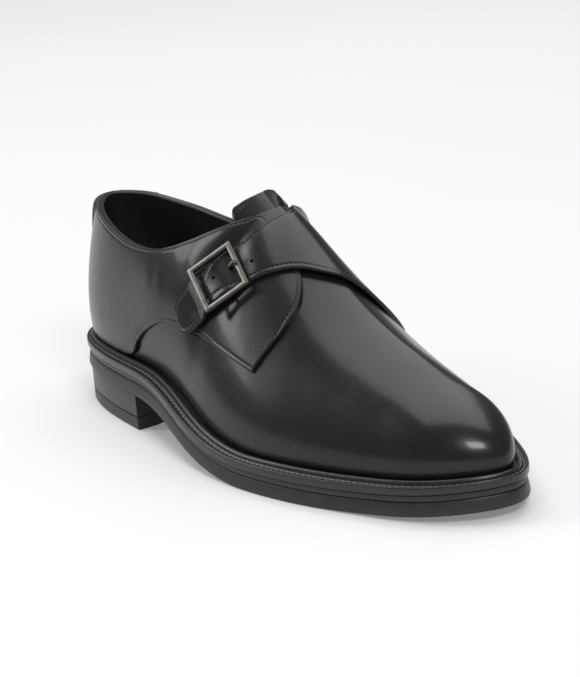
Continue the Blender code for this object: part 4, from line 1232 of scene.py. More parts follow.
    def ring_cutter(self, points: Array, half: float, depth: float) -> Skin:
        """A narrow groove along a closed flat curve, as a cutter through z = 0."""
        normal = outward_normals(points)
        rows = []
        for out, z in ((-half, -3.0), (-half, depth * 0.6), (0.0, depth), (half, depth * 0.6),
                       (half, -3.0)):
            flat = points + normal * out
            rows.append(np.concatenate([flat, np.full((len(flat), 1), z)], 1))
        skin = Skin()
        skin.grid(np.array(rows).transpose(1, 0, 2), close_rows=True, close_columns=True)
        return skin

    def make_outsole(self, finish: Material) -> bpy.types.Object:
        """The outsole with its stitch groove and lugs."""
        g = self.groove_inset
        loops = ((0, self.inner_loop, 0.0), (0, g + 0.95, 0.0), (0, g + 0.75, 0.25),
                 (0, g + 0.6, 0.95), (0, g - 0.6, 0.95), (0, g - 0.75, 0.25),
                 (0, g - 0.95, 0.0), (0, 4.0, 0.0), (0, 1.0, 0.0), (0, 0.5, 0.12),
                 (0, 0.12, 0.5), (0, 0.0, 1.0), (0, 0.3, 3.0), (0, 0.72, 4.9),
                 (0, 0.95, 6.0), (0, 1.15, 6.3), (0, 1.6, 6.4), (0, self.inner_loop, 6.4))
        mesh = self.layer(loops, None, self.stations).mesh("outsole")
        flat = np.array(self.forepart_lugs)
        spots = np.column_stack([flat, SOLE.bottom(flat[:, 0])])
        for profile in (self.lug_ring, self.lug_eye):
            mesh = cut_with(mesh, SETTING_OUT.spread(lathe(profile, 56), spots, finish))
        return new_piece("outsole_tread", mesh, finish, 30.0)

    def make_midsole(self, finish: Material) -> bpy.types.Object:
        """The midsole, a thin even layer under the welt."""
        s, t = self.midsole_step, SOLE.midsole
        loops = ((0, self.inner_loop, 0.0), (0, s + 0.5, 0.0), (0, s + 0.12, 0.12),
                 (0, s, 0.45), (0, s, t - 0.45), (0, s + 0.12, t - 0.12), (0, s + 0.5, t),
                 (0, self.inner_loop, t))
        lifted = tuple((a, b, z + SOLE.outsole + SOLE.gap) for a, b, z in loops)
        return new_piece("midsole_edge", self.layer(lifted, None, 150).mesh("midsole"), finish)

    def make_sock(self, finish: Material) -> bpy.types.Object:
        """The insole under its sock, with a softly rounded edge."""
        t, inset, level = self.insole, 3.4, SOLE.outsole + SOLE.midsole + 2 * SOLE.gap
        loops = ((1, inset + 3.5, 0.0), (1, inset + 0.4, 0.0), (1, inset, 0.4),
                 (1, inset, t - 1.0), (1, inset + 0.3, t - 0.35), (1, inset + 1.0, t),
                 (1, inset + 3.5, t + 0.1))
        lifted = tuple((a, b, z + level) for a, b, z in loops)
        return new_piece("sock", self.layer(lifted, None, 120).mesh("sock"), finish)

    def heel_loops(self, low: float, high: float, soft: float) -> tuple[Point, ...]:
        """Loops of a heel layer between two heights."""
        f = self.flare
        return ((0, self.inner_loop, low), (0, f + soft * 1.4, low),
                (0, f + soft * 0.4, low + soft * 0.3), (0, f, low + soft),
                (0, f, high - 0.35), (0, f + 0.12, high - 0.08), (0, f + 0.5, high),
                (0, self.inner_loop, high))

    def make_heel(self, finish: Material,
                  tread: Material) -> list[bpy.types.Object]:
        """The heel block and the top lift with its lugs, pin holes and crescent."""
        f = self.flare
        loops = ((0, self.inner_loop, 0.0), (0, f + 0.5, 0.0), (0, f + 0.12, 0.1),
                 (0, f, 0.4), (0, f, 10.7), (0, f + 0.12, 11.0), (0, f + 0.5, 11.1),
                 (0, self.inner_loop, 11.1))
        block = self.layer(loops, self.lift + SOLE.gap, 90, SOLE.breast_x, SOLE.breast_hollow)
        lift = self.layer(self.heel_loops(0.0, self.lift, 0.7), 0.0, 90, SOLE.breast_x,
                          SOLE.breast_hollow).mesh("lift")
        lugs = np.column_stack([np.array(self.heel_lugs), np.zeros(len(self.heel_lugs))])
        pins = np.column_stack([np.array(self.heel_pins), np.zeros(len(self.heel_pins))])
        for profile, spots in ((self.lug_ring, lugs), (self.lug_eye, lugs),
                               (self.pin_hole, pins)):
            lift = cut_with(lift, SETTING_OUT.spread(lathe(profile, 40), spots, tread))
        edge = self.ring_cutter(closed_curve(self.crescent, 12), 0.32, 0.5).mesh("crescent")
        lift = cut_with(lift, edge)
        return [new_piece("heel_block_fine", block.mesh("heel_block"), finish, 30.0),
                new_piece("heel_top_lift_fine", lift, tread, 30.0)]

    def welt_ring(self) -> tuple[Array, Array, Array]:
        """Samples all round the welt: feather points, outward normals and reach."""
        outer = self.side(Side.OUTER, self.stations)
        inner = self.side(Side.INNER, self.stations)
        line, normal, reach = (np.concatenate([o, i[-2:0:-1]]) for o, i in zip(outer, inner))
        return line - normal * reach[:, None], normal, reach

    def welt_path(self, out: Array, up: Array | float) -> Array:
        """A line all round on the welt, at distances outside the feather line."""
        centre, normal, reach = self.welt_ring()
        flat = centre + normal * np.asarray(out)[:, None]
        level = SOLE.outsole + SOLE.midsole + 2 * SOLE.gap
        return np.column_stack([flat, SOLE.bottom(flat[:, 0]) + level + up])

    def make_welt(self, finish: Material) -> bpy.types.Object:
        """The storm welt: bead, stitch channel and flat rim."""
        reach = self.welt_ring()[2]
        t = SOLE.welt
        bead_end = self.bead_out + self.bead_radius
        rim = reach - bead_end
        soft = np.minimum(0.7, 0.22 * rim)
        rows = [(np.full_like(reach, -self.welt_in), 0.0), (reach - 0.6, 0.0),
                (reach - 0.12, 0.15), (reach, 0.55), (reach, t - 0.75),
                (reach - 0.14 * soft, t - 0.3), (reach - 0.45 * soft, t - 0.06),
                (reach - soft, t), (bead_end + 0.62 * rim, t), (bead_end + 0.52 * rim, t - 0.12),
                (bead_end + 0.45 * rim, t - 0.55), (bead_end + 0.12 * rim, t - 0.6),
                (bead_end + 0.02 * rim, t - 0.3)]
        for angle in np.radians(np.linspace(0, 180, 13)):
            out = self.bead_out + self.bead_radius * math.cos(angle)
            rows.append((np.full_like(reach, out), t + self.bead_height * math.sin(angle)))
        rows.append((np.full_like(reach, -self.welt_in), t))
        grid = np.stack([self.welt_path(out, up) for out, up in rows], 1)
        skin = Skin()
        skin.grid(grid, close_rows=True, close_columns=True)
        return new_piece("storm_welt", skin.mesh("welt"), finish, 50.0)

    def welt_seam(self) -> Seam:
        """The row of stitches in the welt's channel."""
        reach = self.welt_ring()[2]
        rim = reach - self.bead_out - self.bead_radius
        path = self.welt_path(self.bead_out + self.bead_radius + 0.3 * rim, SOLE.welt - 0.42)
        return Seam(path, np.tile(UP, (len(path), 1)), closed=True)

    def sole_seam(self) -> Seam:
        """The row of stitches in the outsole's groove, from breast to breast."""
        sides = []
        for side in Side:
            line, normal, reach = self.side(side, self.stations)
            flat = line - normal * self.groove_inset
            sides.append(flat[flat[:, 0] > SOLE.breast_x + 1.5])
        flat = np.concatenate([sides[0], sides[1][-2::-1]])
        path = np.column_stack([flat, SOLE.bottom(flat[:, 0]) + 0.75])
        return Seam(path, np.tile(DOWN, (len(path), 1)))

    def build(self, finishes: Finishes) -> None:
        """Make the sole unit, hang it under the root body and hide the CAD parts it stands for."""
        for piece, slot, node in (
                (self.make_outsole(finishes.sole), "sole_rubber", "outsole"),
                (self.make_midsole(finishes.sole), "sole_rubber", "midsole"),
                *zip(self.make_heel(finishes.heel, finishes.sole), ("sole_rubber",) * 2,
                     ("heel_block", "heel_top_lift")),
                (self.make_welt(finishes.welt), "welt_rubber", "welt"),
                (self.make_sock(finishes.sock), "sock", "insole")):
            place_piece(piece, slot, node)
        for name, seam, thread, stitch, slot in (
                ("welt_stitches", self.welt_seam(), finishes.welt_thread, WELT_STITCH,
                 "welt_rubber"),
                ("sole_stitches", self.sole_seam(), finishes.sole_thread, SOLE_STITCH,
                 "sole_rubber")):
            place_piece(SETTING_OUT.sew(name, [seam], thread, stitch), slot)


# ---- leather pieces --------------------------------------------------------------------
@dataclass(frozen=True)
class Crease:
    """A soft trough or ridge between two points of a piece, each a row and a share."""

    start: tuple[float, float]
    end: tuple[float, float]
    depth: float
    width: float


@dataclass
class LeatherPiece:
    """A cut leather piece, described by rows; share runs from its low to its high edge."""

    name: str
    first: float
    last: float
    thick: float = 1.8
    edge_radius: float = 0.45
    row_step: float = 1.7
    middle_columns: int = 24
    edge_lines: tuple[float, ...] = (0.0, 0.9, 1.3, 1.55, 1.8, 2.05, 2.3, 2.8, 3.5, 4.6)
    start_lines: tuple[float, ...] = (0.0, 0.9, 1.4, 1.8, 2.2, 2.8, 3.6)
    end_lines: tuple[float, ...] = (0.0, 0.9, 1.8)
    groove_at: float = 1.75
    groove_depth: float = 0.16
    groove_width: float = 0.42
    sink: float = 0.2
    sewn_to: float = math.inf
    edge_room: float = 0.42
    least_slant: float = 0.4
    creases: tuple[Crease, ...] = ()
    lines: int = 321
    bars: int = 29
    calm_rows: Rows = ()
    lattice: tuple[Array, ...] = ()
    measured: tuple[Array, ...] = ()

    def exact(self, row: Array, share: Array, height: Array | float) -> Array:
        """Points of the piece at a height over its underside; every piece has its own."""
        raise NotImplementedError

    def build_lattice(self) -> None:
        """Work the piece out on a lattice, calmed where the last turns a corner."""
        rows = np.linspace(self.first, self.last, self.lines)
        net = np.meshgrid(rows, np.linspace(0, 1, self.bars), indexing="ij")
        layers = []
        for height in (0.0, 1.0):
            layer = self.exact(*net, height)
            for centre, reach, passes in self.calm_rows:
                calm = bump(rows, centre, reach)[1:-1, None, None]
                for step in range(passes):
                    layer[1:-1] += 0.5 * calm * (0.5 * (layer[:-2] + layer[2:]) - layer[1:-1])
            for axis in (0, 1):
                layer = np.moveaxis(layer, axis, 0)
                layer = np.concatenate([2 * layer[:1] - layer[1:2], layer,
                                        2 * layer[-1:] - layer[-2:-1]])
                layer = np.moveaxis(layer, 0, axis)
            layers.append(layer)
        self.lattice = tuple(layers)

    def at(self, row: Array, share: Array, height: Array | float) -> Array:
        """Points of the piece at a height over its underside, read from the lattice."""
        if not self.lattice:
            self.build_lattice()
        row, share, height = np.broadcast_arrays(*(
            np.asarray(v, float) for v in (row, share, height)))
        u = (row - self.first) / (self.last - self.first) * (self.lines - 1)
        u = np.clip(u, 0, self.lines - 1.0001)
        v = np.clip(share * (self.bars - 1), 0, self.bars - 1.0001)
        i, j = u.astype(int), v.astype(int)
        found = [np.zeros(row.shape + (3,)) for layer in self.lattice]
        for a, weight_a in enumerate(spline_weights(u - i)):
            for b, weight_b in enumerate(spline_weights(v - j)):
                weight = (weight_a * weight_b)[..., None]
                for total, layer in zip(found, self.lattice):
                    total += weight * layer[i + a, j + b]
        return found[0] + (found[1] - found[0]) * height[..., None]

    def thickness(self, row: Array, share: Array) -> Array:
        """Thickness before the edges are dressed."""
        return self.thick + 0 * (row + share)

    def measure(self) -> tuple[Array, Array, Array, Array, Array]:
        """Rows, the run along them, their widths, and how slanted the two edges are."""
        if self.measured:
            return self.measured
        rows = np.linspace(self.first, self.last, 361)
        share = np.linspace(0, 1, 13)
        net = self.at(rows[:, None], share[None, :], 1.0)
        middle = net[:, len(share) // 2]
        run = np.r_[0, np.cumsum(np.linalg.norm(np.diff(middle, axis=0), axis=1))]
        width = np.linalg.norm(np.diff(net, axis=1), axis=2).sum(1)
        slants = []
        for edge, inside in ((0, 1), (-1, -2)):
            along = unit(np.gradient(net[:, edge], axis=0))
            across = unit(net[:, inside] - net[:, edge])
            crossing = np.linalg.norm(np.cross(along, across), axis=1)
            slants.append(1 / np.clip(crossing, self.least_slant, 1.0))
        self.measured = (rows, run, width, slants[0], slants[1])
        return self.measured

    def row_at(self, distance: float) -> float:
        """The row at a distance from the first row, or from the last when negative."""
        rows, run = self.measure()[:2]
        return float(np.interp(distance if distance >= 0 else run[-1] + distance, run, rows))

    def shares(self, row: Array, distance: Array) -> tuple[Array, Array]:
        """Shares that lie at distances from the low edge, and from the high edge."""
        rows, run, width, low, high = self.measure()
        w, f_low, f_high = (np.interp(row, rows, v)[:, None] for v in (width, low, high))
        reach = np.asarray(distance, float)[None, :]
        widest = max(self.edge_lines) * np.maximum(f_low, f_high)
        tight = np.minimum(1.0, self.edge_room * w / widest)
        return reach * f_low * tight / w, 1 - reach * f_high * tight / w

    def net(self) -> tuple[Array, Array, Array]:
        """Rows and shares of the piece's grid, and each point's distance from its two edges."""
        rows, run, width, low, high = self.measure()
        start = np.array(self.start_lines)
        end = run[-1] - np.array(self.end_lines)[::-1]
        count = max(4, int((end[0] - start[-1]) / self.row_step))
        along = np.r_[start[:-1], np.linspace(start[-1], end[0], count), end[1:]]
        row = np.interp(along, run, rows)
        from_low, from_high = self.shares(row, np.array(self.edge_lines))
        t = np.linspace(0, 1, self.middle_columns + 2)[None, 1:-1]
        middle = from_low[:, -1:] * (1 - t) + from_high[:, -1:] * t
        share = np.concatenate([from_low, middle, from_high[:, ::-1]], 1)
        w, f_low, f_high = (np.interp(row, rows, v)[:, None] for v in (width, low, high))
        near_low, near_high = share * w / f_low, (1 - share) * w / f_high
        return (np.broadcast_to(row[:, None], share.shape), share,
                np.stack([near_low, near_high]))

    def stitched(self, row: Array, side: int) -> Array:
        """How far a seam's groove shows; the low edge (0) is sewn only up to a row."""
        return np.clip(self.sewn_to - row, 0, 1) if side == 0 else np.ones_like(row)

    def relief(self, row: Array, share: Array, sides: Array) -> Array:
        """Height added to the face: seam grooves and creases."""
        height = np.zeros_like(share)
        for side in (0, 1):
            groove = bump(sides[side], self.groove_at, self.groove_width)
            height -= self.groove_depth * groove * self.stitched(row, side)
        base = self.at(row, share, 1.0)
        for crease in self.creases:
            a, b = (self.at(np.array([[p[0]]]), np.array([[p[1]]]), 1.0)[0, 0]
                    for p in (crease.start, crease.end))
            way = b - a
            t = np.clip(((base - a) @ way) / (way @ way), 0, 1)
            away = np.linalg.norm(base - a - t[..., None] * way, axis=-1)
            fade = np.sin(math.pi * np.clip(0.06 + 0.88 * t, 0, 1)) ** 0.7
            height -= crease.depth * np.exp(-(away / crease.width) ** 2) * fade
        return height

    def mesh(self) -> Mesh:
        """The piece as a closed solid with its edges rounded over."""
        row, share, sides = self.net()
        height = self.thickness(row, share) + self.relief(row, share, sides)
        skin = Skin()
        rounded_sheet(skin, self.at(row, share, height), self.at(row, share, 0.0),
                      self.edge_radius)
        return skin.mesh(self.name)

    def line(self, row: Array, share: Array, sink: float) -> tuple[Array, Array]:
        """A line on the face: its points, sunk a little, and the way out."""
        thick = self.thickness(row, share)
        top = self.at(row, share, thick)
        way = unit(self.at(row, share, thick + 0.5) - top)
        return top - way * sink, way

    def edge_seam(self, side: int, distance: float, start: float, end: float) -> Seam:
        """A seam at a distance from the low (0) or high (1) edge.

        Args:
            side: Which edge.
            distance: From that edge, mm.
            start: The first row.
            end: The last row.

        Returns:
            The seam.
        """
        row = np.linspace(start, end, 240)
        share = self.shares(row, np.array([distance]))[side][:, 0]
        points, way = self.line(row[:, None], share[:, None], self.sink)
        return Seam(points[:, 0], way[:, 0])

    def round_seam(self, distance: float, low_row: float, high_row: float,
                   at_last: bool = False, samples: int = 24) -> Seam:
        """A seam along the low edge, round one end and back along the high edge.

        Args:
            distance: From the edges and the end, mm.
            low_row: Where it starts on the low edge.
            high_row: Where it stops on the high edge.
            at_last: Whether it goes round the last end, not the first.
            samples: Points across the end.

        Returns:
            The seam.
        """
        corner = self.row_at(-distance if at_last else distance)
        low = self.edge_seam(0, distance, low_row, corner)
        high = self.edge_seam(1, distance, corner, high_row)
        ends = [share[0, 0] for share in self.shares(np.array([corner]), np.array([distance]))]
        share = np.linspace(*ends, samples)[None, :]
        across, way = self.line(np.full_like(share, corner), share, self.sink)
        return Seam(np.concatenate([low.points, across[0, 1:-1], high.points]),
                    np.concatenate([low.out, way[0, 1:-1], high.out]))


@dataclass
class OuterQuarter(LeatherPiece):
    """The outer quarter, from its point on the vamp to the back seam."""

    table: Rows = (
        (0.415, 0.383, 0.405, 0.58), (0.427, 0.379, 0.406, 0.66), (0.443, 0.373, 0.410, 0.728),
        (0.462, 0.365, 0.419, 0.777), (0.483, 0.354, 0.437, 0.828), (0.506, 0.342, 0.470, 0.855),
        (0.531, 0.331, 0.512, 0.869), (0.556, 0.327, 0.541, 0.885), (0.580, 0.339, 0.560, 0.925),
        (0.603, 0.355, 0.580, 0.960), (0.625, 0.371, 0.605, 0.985), (0.644, 0.376, 0.635, 0.995),
        (0.662, 0.360, 0.665, 0.995), (0.680, 0.323, 0.695, 0.995), (0.698, 0.267, 0.725, 0.995),
        (0.716, 0.175, 0.756, 0.995), (0.733, 0.060, 0.789, 0.995), (0.785, 0.03, 0.840, 0.995),
        (0.890, 0.03, 0.910, 0.995), (0.9994, 0.03, 0.9994, 0.995))
    seat: float = 0.12
    skived: float = 0.5
    skived_share: float = 0.22
    skived_rows: tuple[float, float] = (14.0, 16.0)
    sewn_to: float = 15.6
    tack_row: float = 1.1
    tacks: Rows = ((2.3, 0.33, 0.2), (2.05, 0.26, 0.16))
    tack_sink: float = 0.12

    def edges(self, row: Array) -> Array:
        """Place and girth of the low and the high edge at each row."""
        table = np.array([(k, *values) for k, values in enumerate(self.table)])
        return smooth_table(table, row)

    def exact(self, row: Array, share: Array, height: Array | float) -> Array:
        """Points of the piece."""
        edge = self.edges(row)
        place = edge[..., 0] * (1 - share) + edge[..., 2] * share
        girth = edge[..., 1] * (1 - share) + edge[..., 3] * share
        return LAST.over_ridge(place, girth, self.seat + height)

    def thickness(self, row: Array, share: Array) -> Array:
        """Thinner towards the edge that is sewn on the vamp."""
        full, none = self.skived_rows
        near = np.clip(1 - share / self.skived_share, 0, 1)
        near = near * np.clip((none - row) / (none - full), 0, 1)
        return self.thick - self.skived * near ** 1.5

    def seams(self) -> list[Seam]:
        """Front point, facing and topline once; the low edge twice."""
        return [self.round_seam(1.75, 15.3, self.last - 0.45),
                self.edge_seam(0, 3.7, 15.2, self.row_at(5.5)), *self.bar_tack()]

    def bar_tack(self) -> list[Seam]:
        """Two short rows that hold the front point."""
        rows = []
        for end_row, start_share, end_share in self.tacks:
            t = np.linspace(0, 1, 12)[:, None]
            share = start_share + (end_share - start_share) * t
            row = self.tack_row + (end_row - self.tack_row) * t
            points, way = self.line(row, share, self.tack_sink)
            rows.append(Seam(points[:, 0], way[:, 0]))
        return rows


@dataclass
class BuckleSeat:
    """The buckle's plane over the surface that it covers, with its middle and axes."""

    middle: Array
    along: Array
    across: Array
    out: Array

    def at(self, points: Array) -> Array:
        """Points given along, across and out of the buckle, in table millimetres."""
        p = np.asarray(points, float)
        frame_axes = np.stack([self.along, self.across, self.out])
        return self.middle + p @ frame_axes


@dataclass
class StrapQuarter(LeatherPiece):
    """The inner quarter with the strap that crosses the instep to the buckle."""

    table: Rows = (
        (0.579, 0.322, 0.606, 0.440, 2.5, 2.1), (0.560, 0.315, 0.606, 0.485, 2.5, 2.1),
        (0.541, 0.358, 0.597, 0.538, 2.5, 2.1), (0.524, 0.420, 0.586, 0.580, 2.5, 2.1),
        (0.508, 0.490, 0.572, 0.612, 2.5, 2.1), (0.493, 0.570, 0.553, 0.643, 2.5, 2.1),
        (0.478, 0.655, 0.533, 0.695, 2.5, 2.1), (0.463, 0.735, 0.523, 0.775, 2.5, 2.1),
        (0.443, 0.835, 0.520, 0.870, 2.5, 2.1), (0.419, 0.925, 0.521, 0.950, 2.2, 2.0),
        (0.395, 1.040, 0.525, 1.025, 1.8, 1.8), (0.374, 1.200, 0.538, 1.070, 1.8, 1.6),
        (0.366, 1.400, 0.575, 1.070, 1.8, 1.4), (0.388, 1.600, 0.635, 1.040, 1.8, 1.3),
        (0.470, 1.680, 0.720, 1.010, 1.5, 1.3), (0.600, 1.640, 0.800, 1.005, 1.1, 1.25),
        (0.710, 1.710, 0.865, 1.005, 0.65, 1.25), (0.785, 1.970, 0.920, 1.005, 0.65, 1.25),
        (0.9994, 1.970, 0.9994, 1.005, 0.65, 1.25))
    buckle_rows: tuple[float, float] = (3.0, 5.6)
    buckle_shift: tuple[float, float] = (-0.2, -3.4)
    buckle_turn_deg: float = 5.5
    buckle_dip_deg: float = 7.5
    flat_lift: float = 4.2
    flat_reach: float = 13.5
    bulge: float = 2.1
    bulge_reach: float = 6.0
    settle: float = 0.53
    settled_lifts: tuple[float, float] = (0.65, 1.4)
    least_lift: float = 2.2
    punch_reach: tuple[float, float] = (-4.2, 1.5)
    strap_rows: tuple[float, float] = (8.5, 9.5)
    lies_flat: tuple[float, float] = (10.5, 12.0)
    sewn_to: float = 17.2
    seat_reach: Point = (13.0, 13.5, 8.0)
    seat: BuckleSeat | None = None

    def place_girth(self, row: Array, share: Array) -> tuple[Array, Array, Array, Array]:
        """Place, girth, lift and thickness over the piece."""
        table = np.array([(k, *values) for k, values in enumerate(self.table)])
        edge = smooth_table(table, row)
        place = edge[..., 0] * (1 - share) + edge[..., 2] * share
        girth = edge[..., 1] * (1 - share) + edge[..., 3] * share
        start, stop = self.lies_flat
        close = np.clip((row - start) / (stop - start), 0, 1)
        low = np.minimum(edge[..., 4], self.settled_lifts[0])
        lift = edge[..., 4] + close * (low - edge[..., 4])
        return place, girth, lift, edge[..., 5]

    def find_seat(self) -> BuckleSeat:
        """The plane that lies level over the surface inside the buckle's outline."""
        ends = np.linspace(self.buckle_rows[0], self.buckle_rows[1], 9)
        net = np.meshgrid(ends, np.linspace(0, 1, 9), indexing="ij")
        place, girth = self.place_girth(*net)[:2]
        patch = LAST.over_ridge(place, girth, 0.0)
        middle = patch[:, 4].mean(0)
        way = patch[-1].mean(0) - patch[0].mean(0)
        wide = np.meshgrid(np.linspace(1, 8, 41), np.linspace(-1, 2, 61), indexing="ij")
        place, girth = self.place_girth(*wide)[:2]
        around = LAST.over_ridge(place, np.minimum(girth, 1.0), 0.0).reshape(-1, 3)
        near = patch.reshape(-1, 3)
        for step in range(4):
            centre = near.mean(0)
            axes = np.linalg.eigh((near - centre).T @ (near - centre))[1]
            out = axes[:, 0] * (-1.0 if axes[1, 0] > 0 else 1.0)
            along = unit(way - (way @ out) * out)
            across = np.cross(out, along)
            rest = around - middle
            offsets = np.abs(np.stack([rest @ along, rest @ across, rest @ out], 1))
            near = around[(offsets < self.seat_reach).all(1)]
        turn, dip = math.radians(self.buckle_turn_deg), math.radians(self.buckle_dip_deg)
        middle = middle + ((centre - middle) @ out) * out
        middle = middle + self.buckle_shift[0] * along + self.buckle_shift[1] * across
        turned = math.cos(turn) * along + math.sin(turn) * across
        sunk = math.cos(dip) * turned - math.sin(dip) * out
        across = np.cross(out, turned)
        return BuckleSeat(middle, sunk, across, np.cross(sunk, across))

    def exact(self, row: Array, share: Array, height: Array | float) -> Array:
        """Points of the piece; it lies level under the buckle and rises over its bar."""
        if self.seat is None:
            self.seat = self.find_seat()
        row, share = np.broadcast_arrays(np.asarray(row, float), np.asarray(share, float))
        place, girth, lift = self.place_girth(row, share)[:3]
        rest = LAST.over_ridge(place, girth, 0.0) - self.seat.middle
        run, level = rest @ self.seat.along, rest @ self.seat.out
        start, stop = self.strap_rows
        strap = np.clip((stop - row) / (stop - start), 0, 1)
        near = np.exp(-(run / self.flat_reach) ** 6) * strap
        rise = self.bulge * np.exp(-(run / self.bulge_reach) ** 2)
        lift = lift + near * (self.flat_lift + rise - level - lift)
        lift = np.maximum(lift, self.least_lift * strap)
        return LAST.over_ridge(place, girth, lift - self.filled(lift) + height)

    def filled(self, lift: Array) -> Array:
        """How far the piece reaches down to the vamp where it lies close to it."""
        low, high = self.settled_lifts
        return self.settle * np.clip((high - lift) / (high - low), 0, 1)

    def thickness(self, row: Array, share: Array) -> Array:
        """As thick as the table says, and filled down to the vamp on the inner side."""
        lift, thick = self.place_girth(row, share)[2:]
        return thick + self.filled(lift)

    def spot(self, run: float, aside: float) -> tuple[Array, Array]:
        """Row and share of the point at distances along and across from the buckle's middle."""
        row, share = np.meshgrid(np.linspace(1, 8, 141), np.linspace(0.1, 0.9, 81))
        rest = self.at(row, share, 1.0) - self.seat.middle
        away = np.hypot(rest @ self.seat.along - run, rest @ self.seat.across - aside)
        best = np.unravel_index(np.argmin(away), away.shape)
        return row[best].reshape(1, 1), share[best].reshape(1, 1)

    def seams(self) -> list[Seam]:
        """All round the strap, and twice where the inner quarter is sewn on the vamp."""
        return [self.round_seam(1.9, 16.6, self.last - 0.45),
                self.edge_seam(0, 3.9, 16.4, 11.8)]

    def punch(self, mesh: Mesh, spots: Rows, radius: float) -> Mesh:
        """Punch holes at distances along and across from the buckle's middle."""
        for run, aside in spots:
            row, share = self.spot(run, aside)
            thick = self.thickness(row, share)
            ends = [self.at(row, share, thick + h)[0, 0] for h in self.punch_reach]
            skin = Skin()
            tube(skin, np.array(ends), np.full(2, radius), 20)
            mesh = cut_with(mesh, skin.mesh("punch"), folded=True)
        return mesh


@dataclass
class BackStrip(LeatherPiece):
    """The strip over the back seam, wide at the collar."""

    table: Rows = ((0.05, 11.5), (0.3, 11.0), (0.6, 12.0), (0.85, 17.0), (0.985, 25.0))
    lift: float = 2.0
    side_length: float = 0.0

    def exact(self, row: Array, share: Array, height: Array | float) -> Array:
        """Points of the piece; its rows are girths."""
        if not self.side_length:
            line = FEATHER[Side.INNER][1]
            self.side_length = float(np.linalg.norm(np.diff(line, axis=0), axis=1).sum())
        half = smooth_table(self.table, row)[..., 0]
        place = 1.0 + (2 * share - 1) * half / self.side_length
        return LAST.point(place, row, self.lift + height)

    def seams(self) -> list[Seam]:
        """Both long edges."""
        return [self.edge_seam(0, 1.7, 0.09, self.last - 0.03),
                self.edge_seam(1, 1.7, 0.09, self.last - 0.03)]


@dataclass
class Tongue(LeatherPiece):
    """The tongue, under the vamp and strap and out past the throat; rows are 0 to 2."""

    tuck: float = 0.43
    side_girth: float = 0.62
    depth: float = 3.75
    rise: float = 15.6
    slope: float = 0.7
    wing: float = 0.15
    skew: float = 0.15
    flatten: float = 0.58
    corner: float = 0.4
    outer_spread: float = -0.25
    inner_spread: float = 0.05

    def exact(self, row: Array, share: Array, height: Array | float) -> Array:
        """Points of the piece."""
        across = 2 * share - 1
        away = np.abs(across)
        girth = 1 + across * (1 - self.side_girth)
        inside = np.clip(row, 0, 1)
        place = self.tuck + inside * (LAST.throat - 0.004 - self.tuck)
        offset = height - self.thick - self.depth
        held = LAST.over_ridge(place, girth, offset)
        middle = LAST.over_ridge(place, np.ones_like(girth), offset)
        step = np.clip(row - 1, 0, 1)
        aside = np.where(across < 0, self.outer_spread, self.inner_spread)
        spread = 1 + aside * step * away ** 2
        moved = held.copy()
        moved[..., 1] = middle[..., 1] + (held[..., 1] - middle[..., 1]) * spread
        fall = middle[..., 2] - held[..., 2]
        moved[..., 2] = held[..., 2] + fall * self.flatten * step ** 2
        way = np.array([-1.0, 0.0, self.slope]) / math.hypot(1.0, self.slope)
        full = self.rise * (1 + self.wing * away ** 1.25 + self.skew * across)
        reach = step * full * (1 - self.corner * away ** 14)
        return moved + reach[..., None] * way

    def seams(self) -> list[Seam]:
        """One row round the free end."""
        return [self.round_seam(1.9, 0.9, 0.9, at_last=True, samples=30)]


@dataclass
class Shell:
    """A closed wall over the whole last: the vamp's leather or its lining."""

    name: str
    outside: float
    inside: float
    rim: float
    places_ahead: int = 96
    places_behind: int = 84
    girths: int = 52
    calm_reach: float = 0.035
    calm_passes: int = 24
    calm_step: float = 0.6

    def mesh(self) -> Mesh:
        """The wall, open at the collar and underneath, with the collar's rim rounded."""
        ahead = LAST.throat * np.linspace(0, 1, self.places_ahead) ** 1.12
        u = np.linspace(0, 1, self.places_behind + 1)[1:]
        behind = LAST.throat + (1 - LAST.throat) * (0.65 * u + 0.35 * np.sin(0.5 * math.pi * u))
        places = np.r_[ahead, behind]
        soft = np.clip((places - LAST.throat) / 0.012, 0, 1)[:, None]
        angle = np.linspace(0, math.pi / 2, 5)[None, :]
        walls = {}
        for side in Side:
            place = places[:, None] * side.value
            place = np.where(place == 0, side.value * 1e-9, place)
            spread = np.linspace(0, 1, 5)[None, :] + 0 * place
            length = np.linalg.norm(np.diff(LAST.base(place, spread), axis=1),
                                    axis=2).sum(1)[:, None]
            back = self.rim * soft / length
            even = np.linspace(0, 1, self.girths)[None, :] * (1 - back)
            rounding = 1 - back * (1 - np.sin(angle[:, 1:]))
            fall = self.rim * soft * (1 - np.cos(angle[:, 1:]))
            girth = np.concatenate([even, rounding], 1)
            depth = np.concatenate([0 * even, fall], 1)
            wide = np.broadcast_to(place, girth.shape)
            outside = LAST.point(wide, girth, self.outside - depth)
            inside = LAST.point(wide, girth, self.inside + depth)
            calm = bump(places, LAST.throat + 0.01, self.calm_reach)[1:-1, None, None]
            for step in range(self.calm_passes):
                middle = 0.5 * (inside[:-2] + inside[2:])
                inside[1:-1] += self.calm_step * calm * (middle - inside[1:-1])
            walls[side] = [outside, inside]
        start = int(np.argmax(places >= LAST.throat - 1e-9))
        for layer in (0, 1):
            pair = [walls[side][layer] for side in Side]
            ridge = 0.5 * sum(wall[:start + 1, self.girths - 1] for wall in pair)
            toe = 0.5 * (pair[0][0] + pair[1][0])
            for wall in pair:
                wall[:start + 1, self.girths - 1:] = ridge[:, None]
                wall[0] = toe
        skin = Skin()
        for side in Side:
            outer = skin.grid(walls[side][0])
            inner = skin.grid(walls[side][1], flip=True)
            skin.join(np.stack([outer[:, 0], inner[:, 0]], 1))
            skin.join(np.stack([outer[start:, -1], inner[start:, -1]], 1))
        return skin.mesh(self.name, 0.00002)


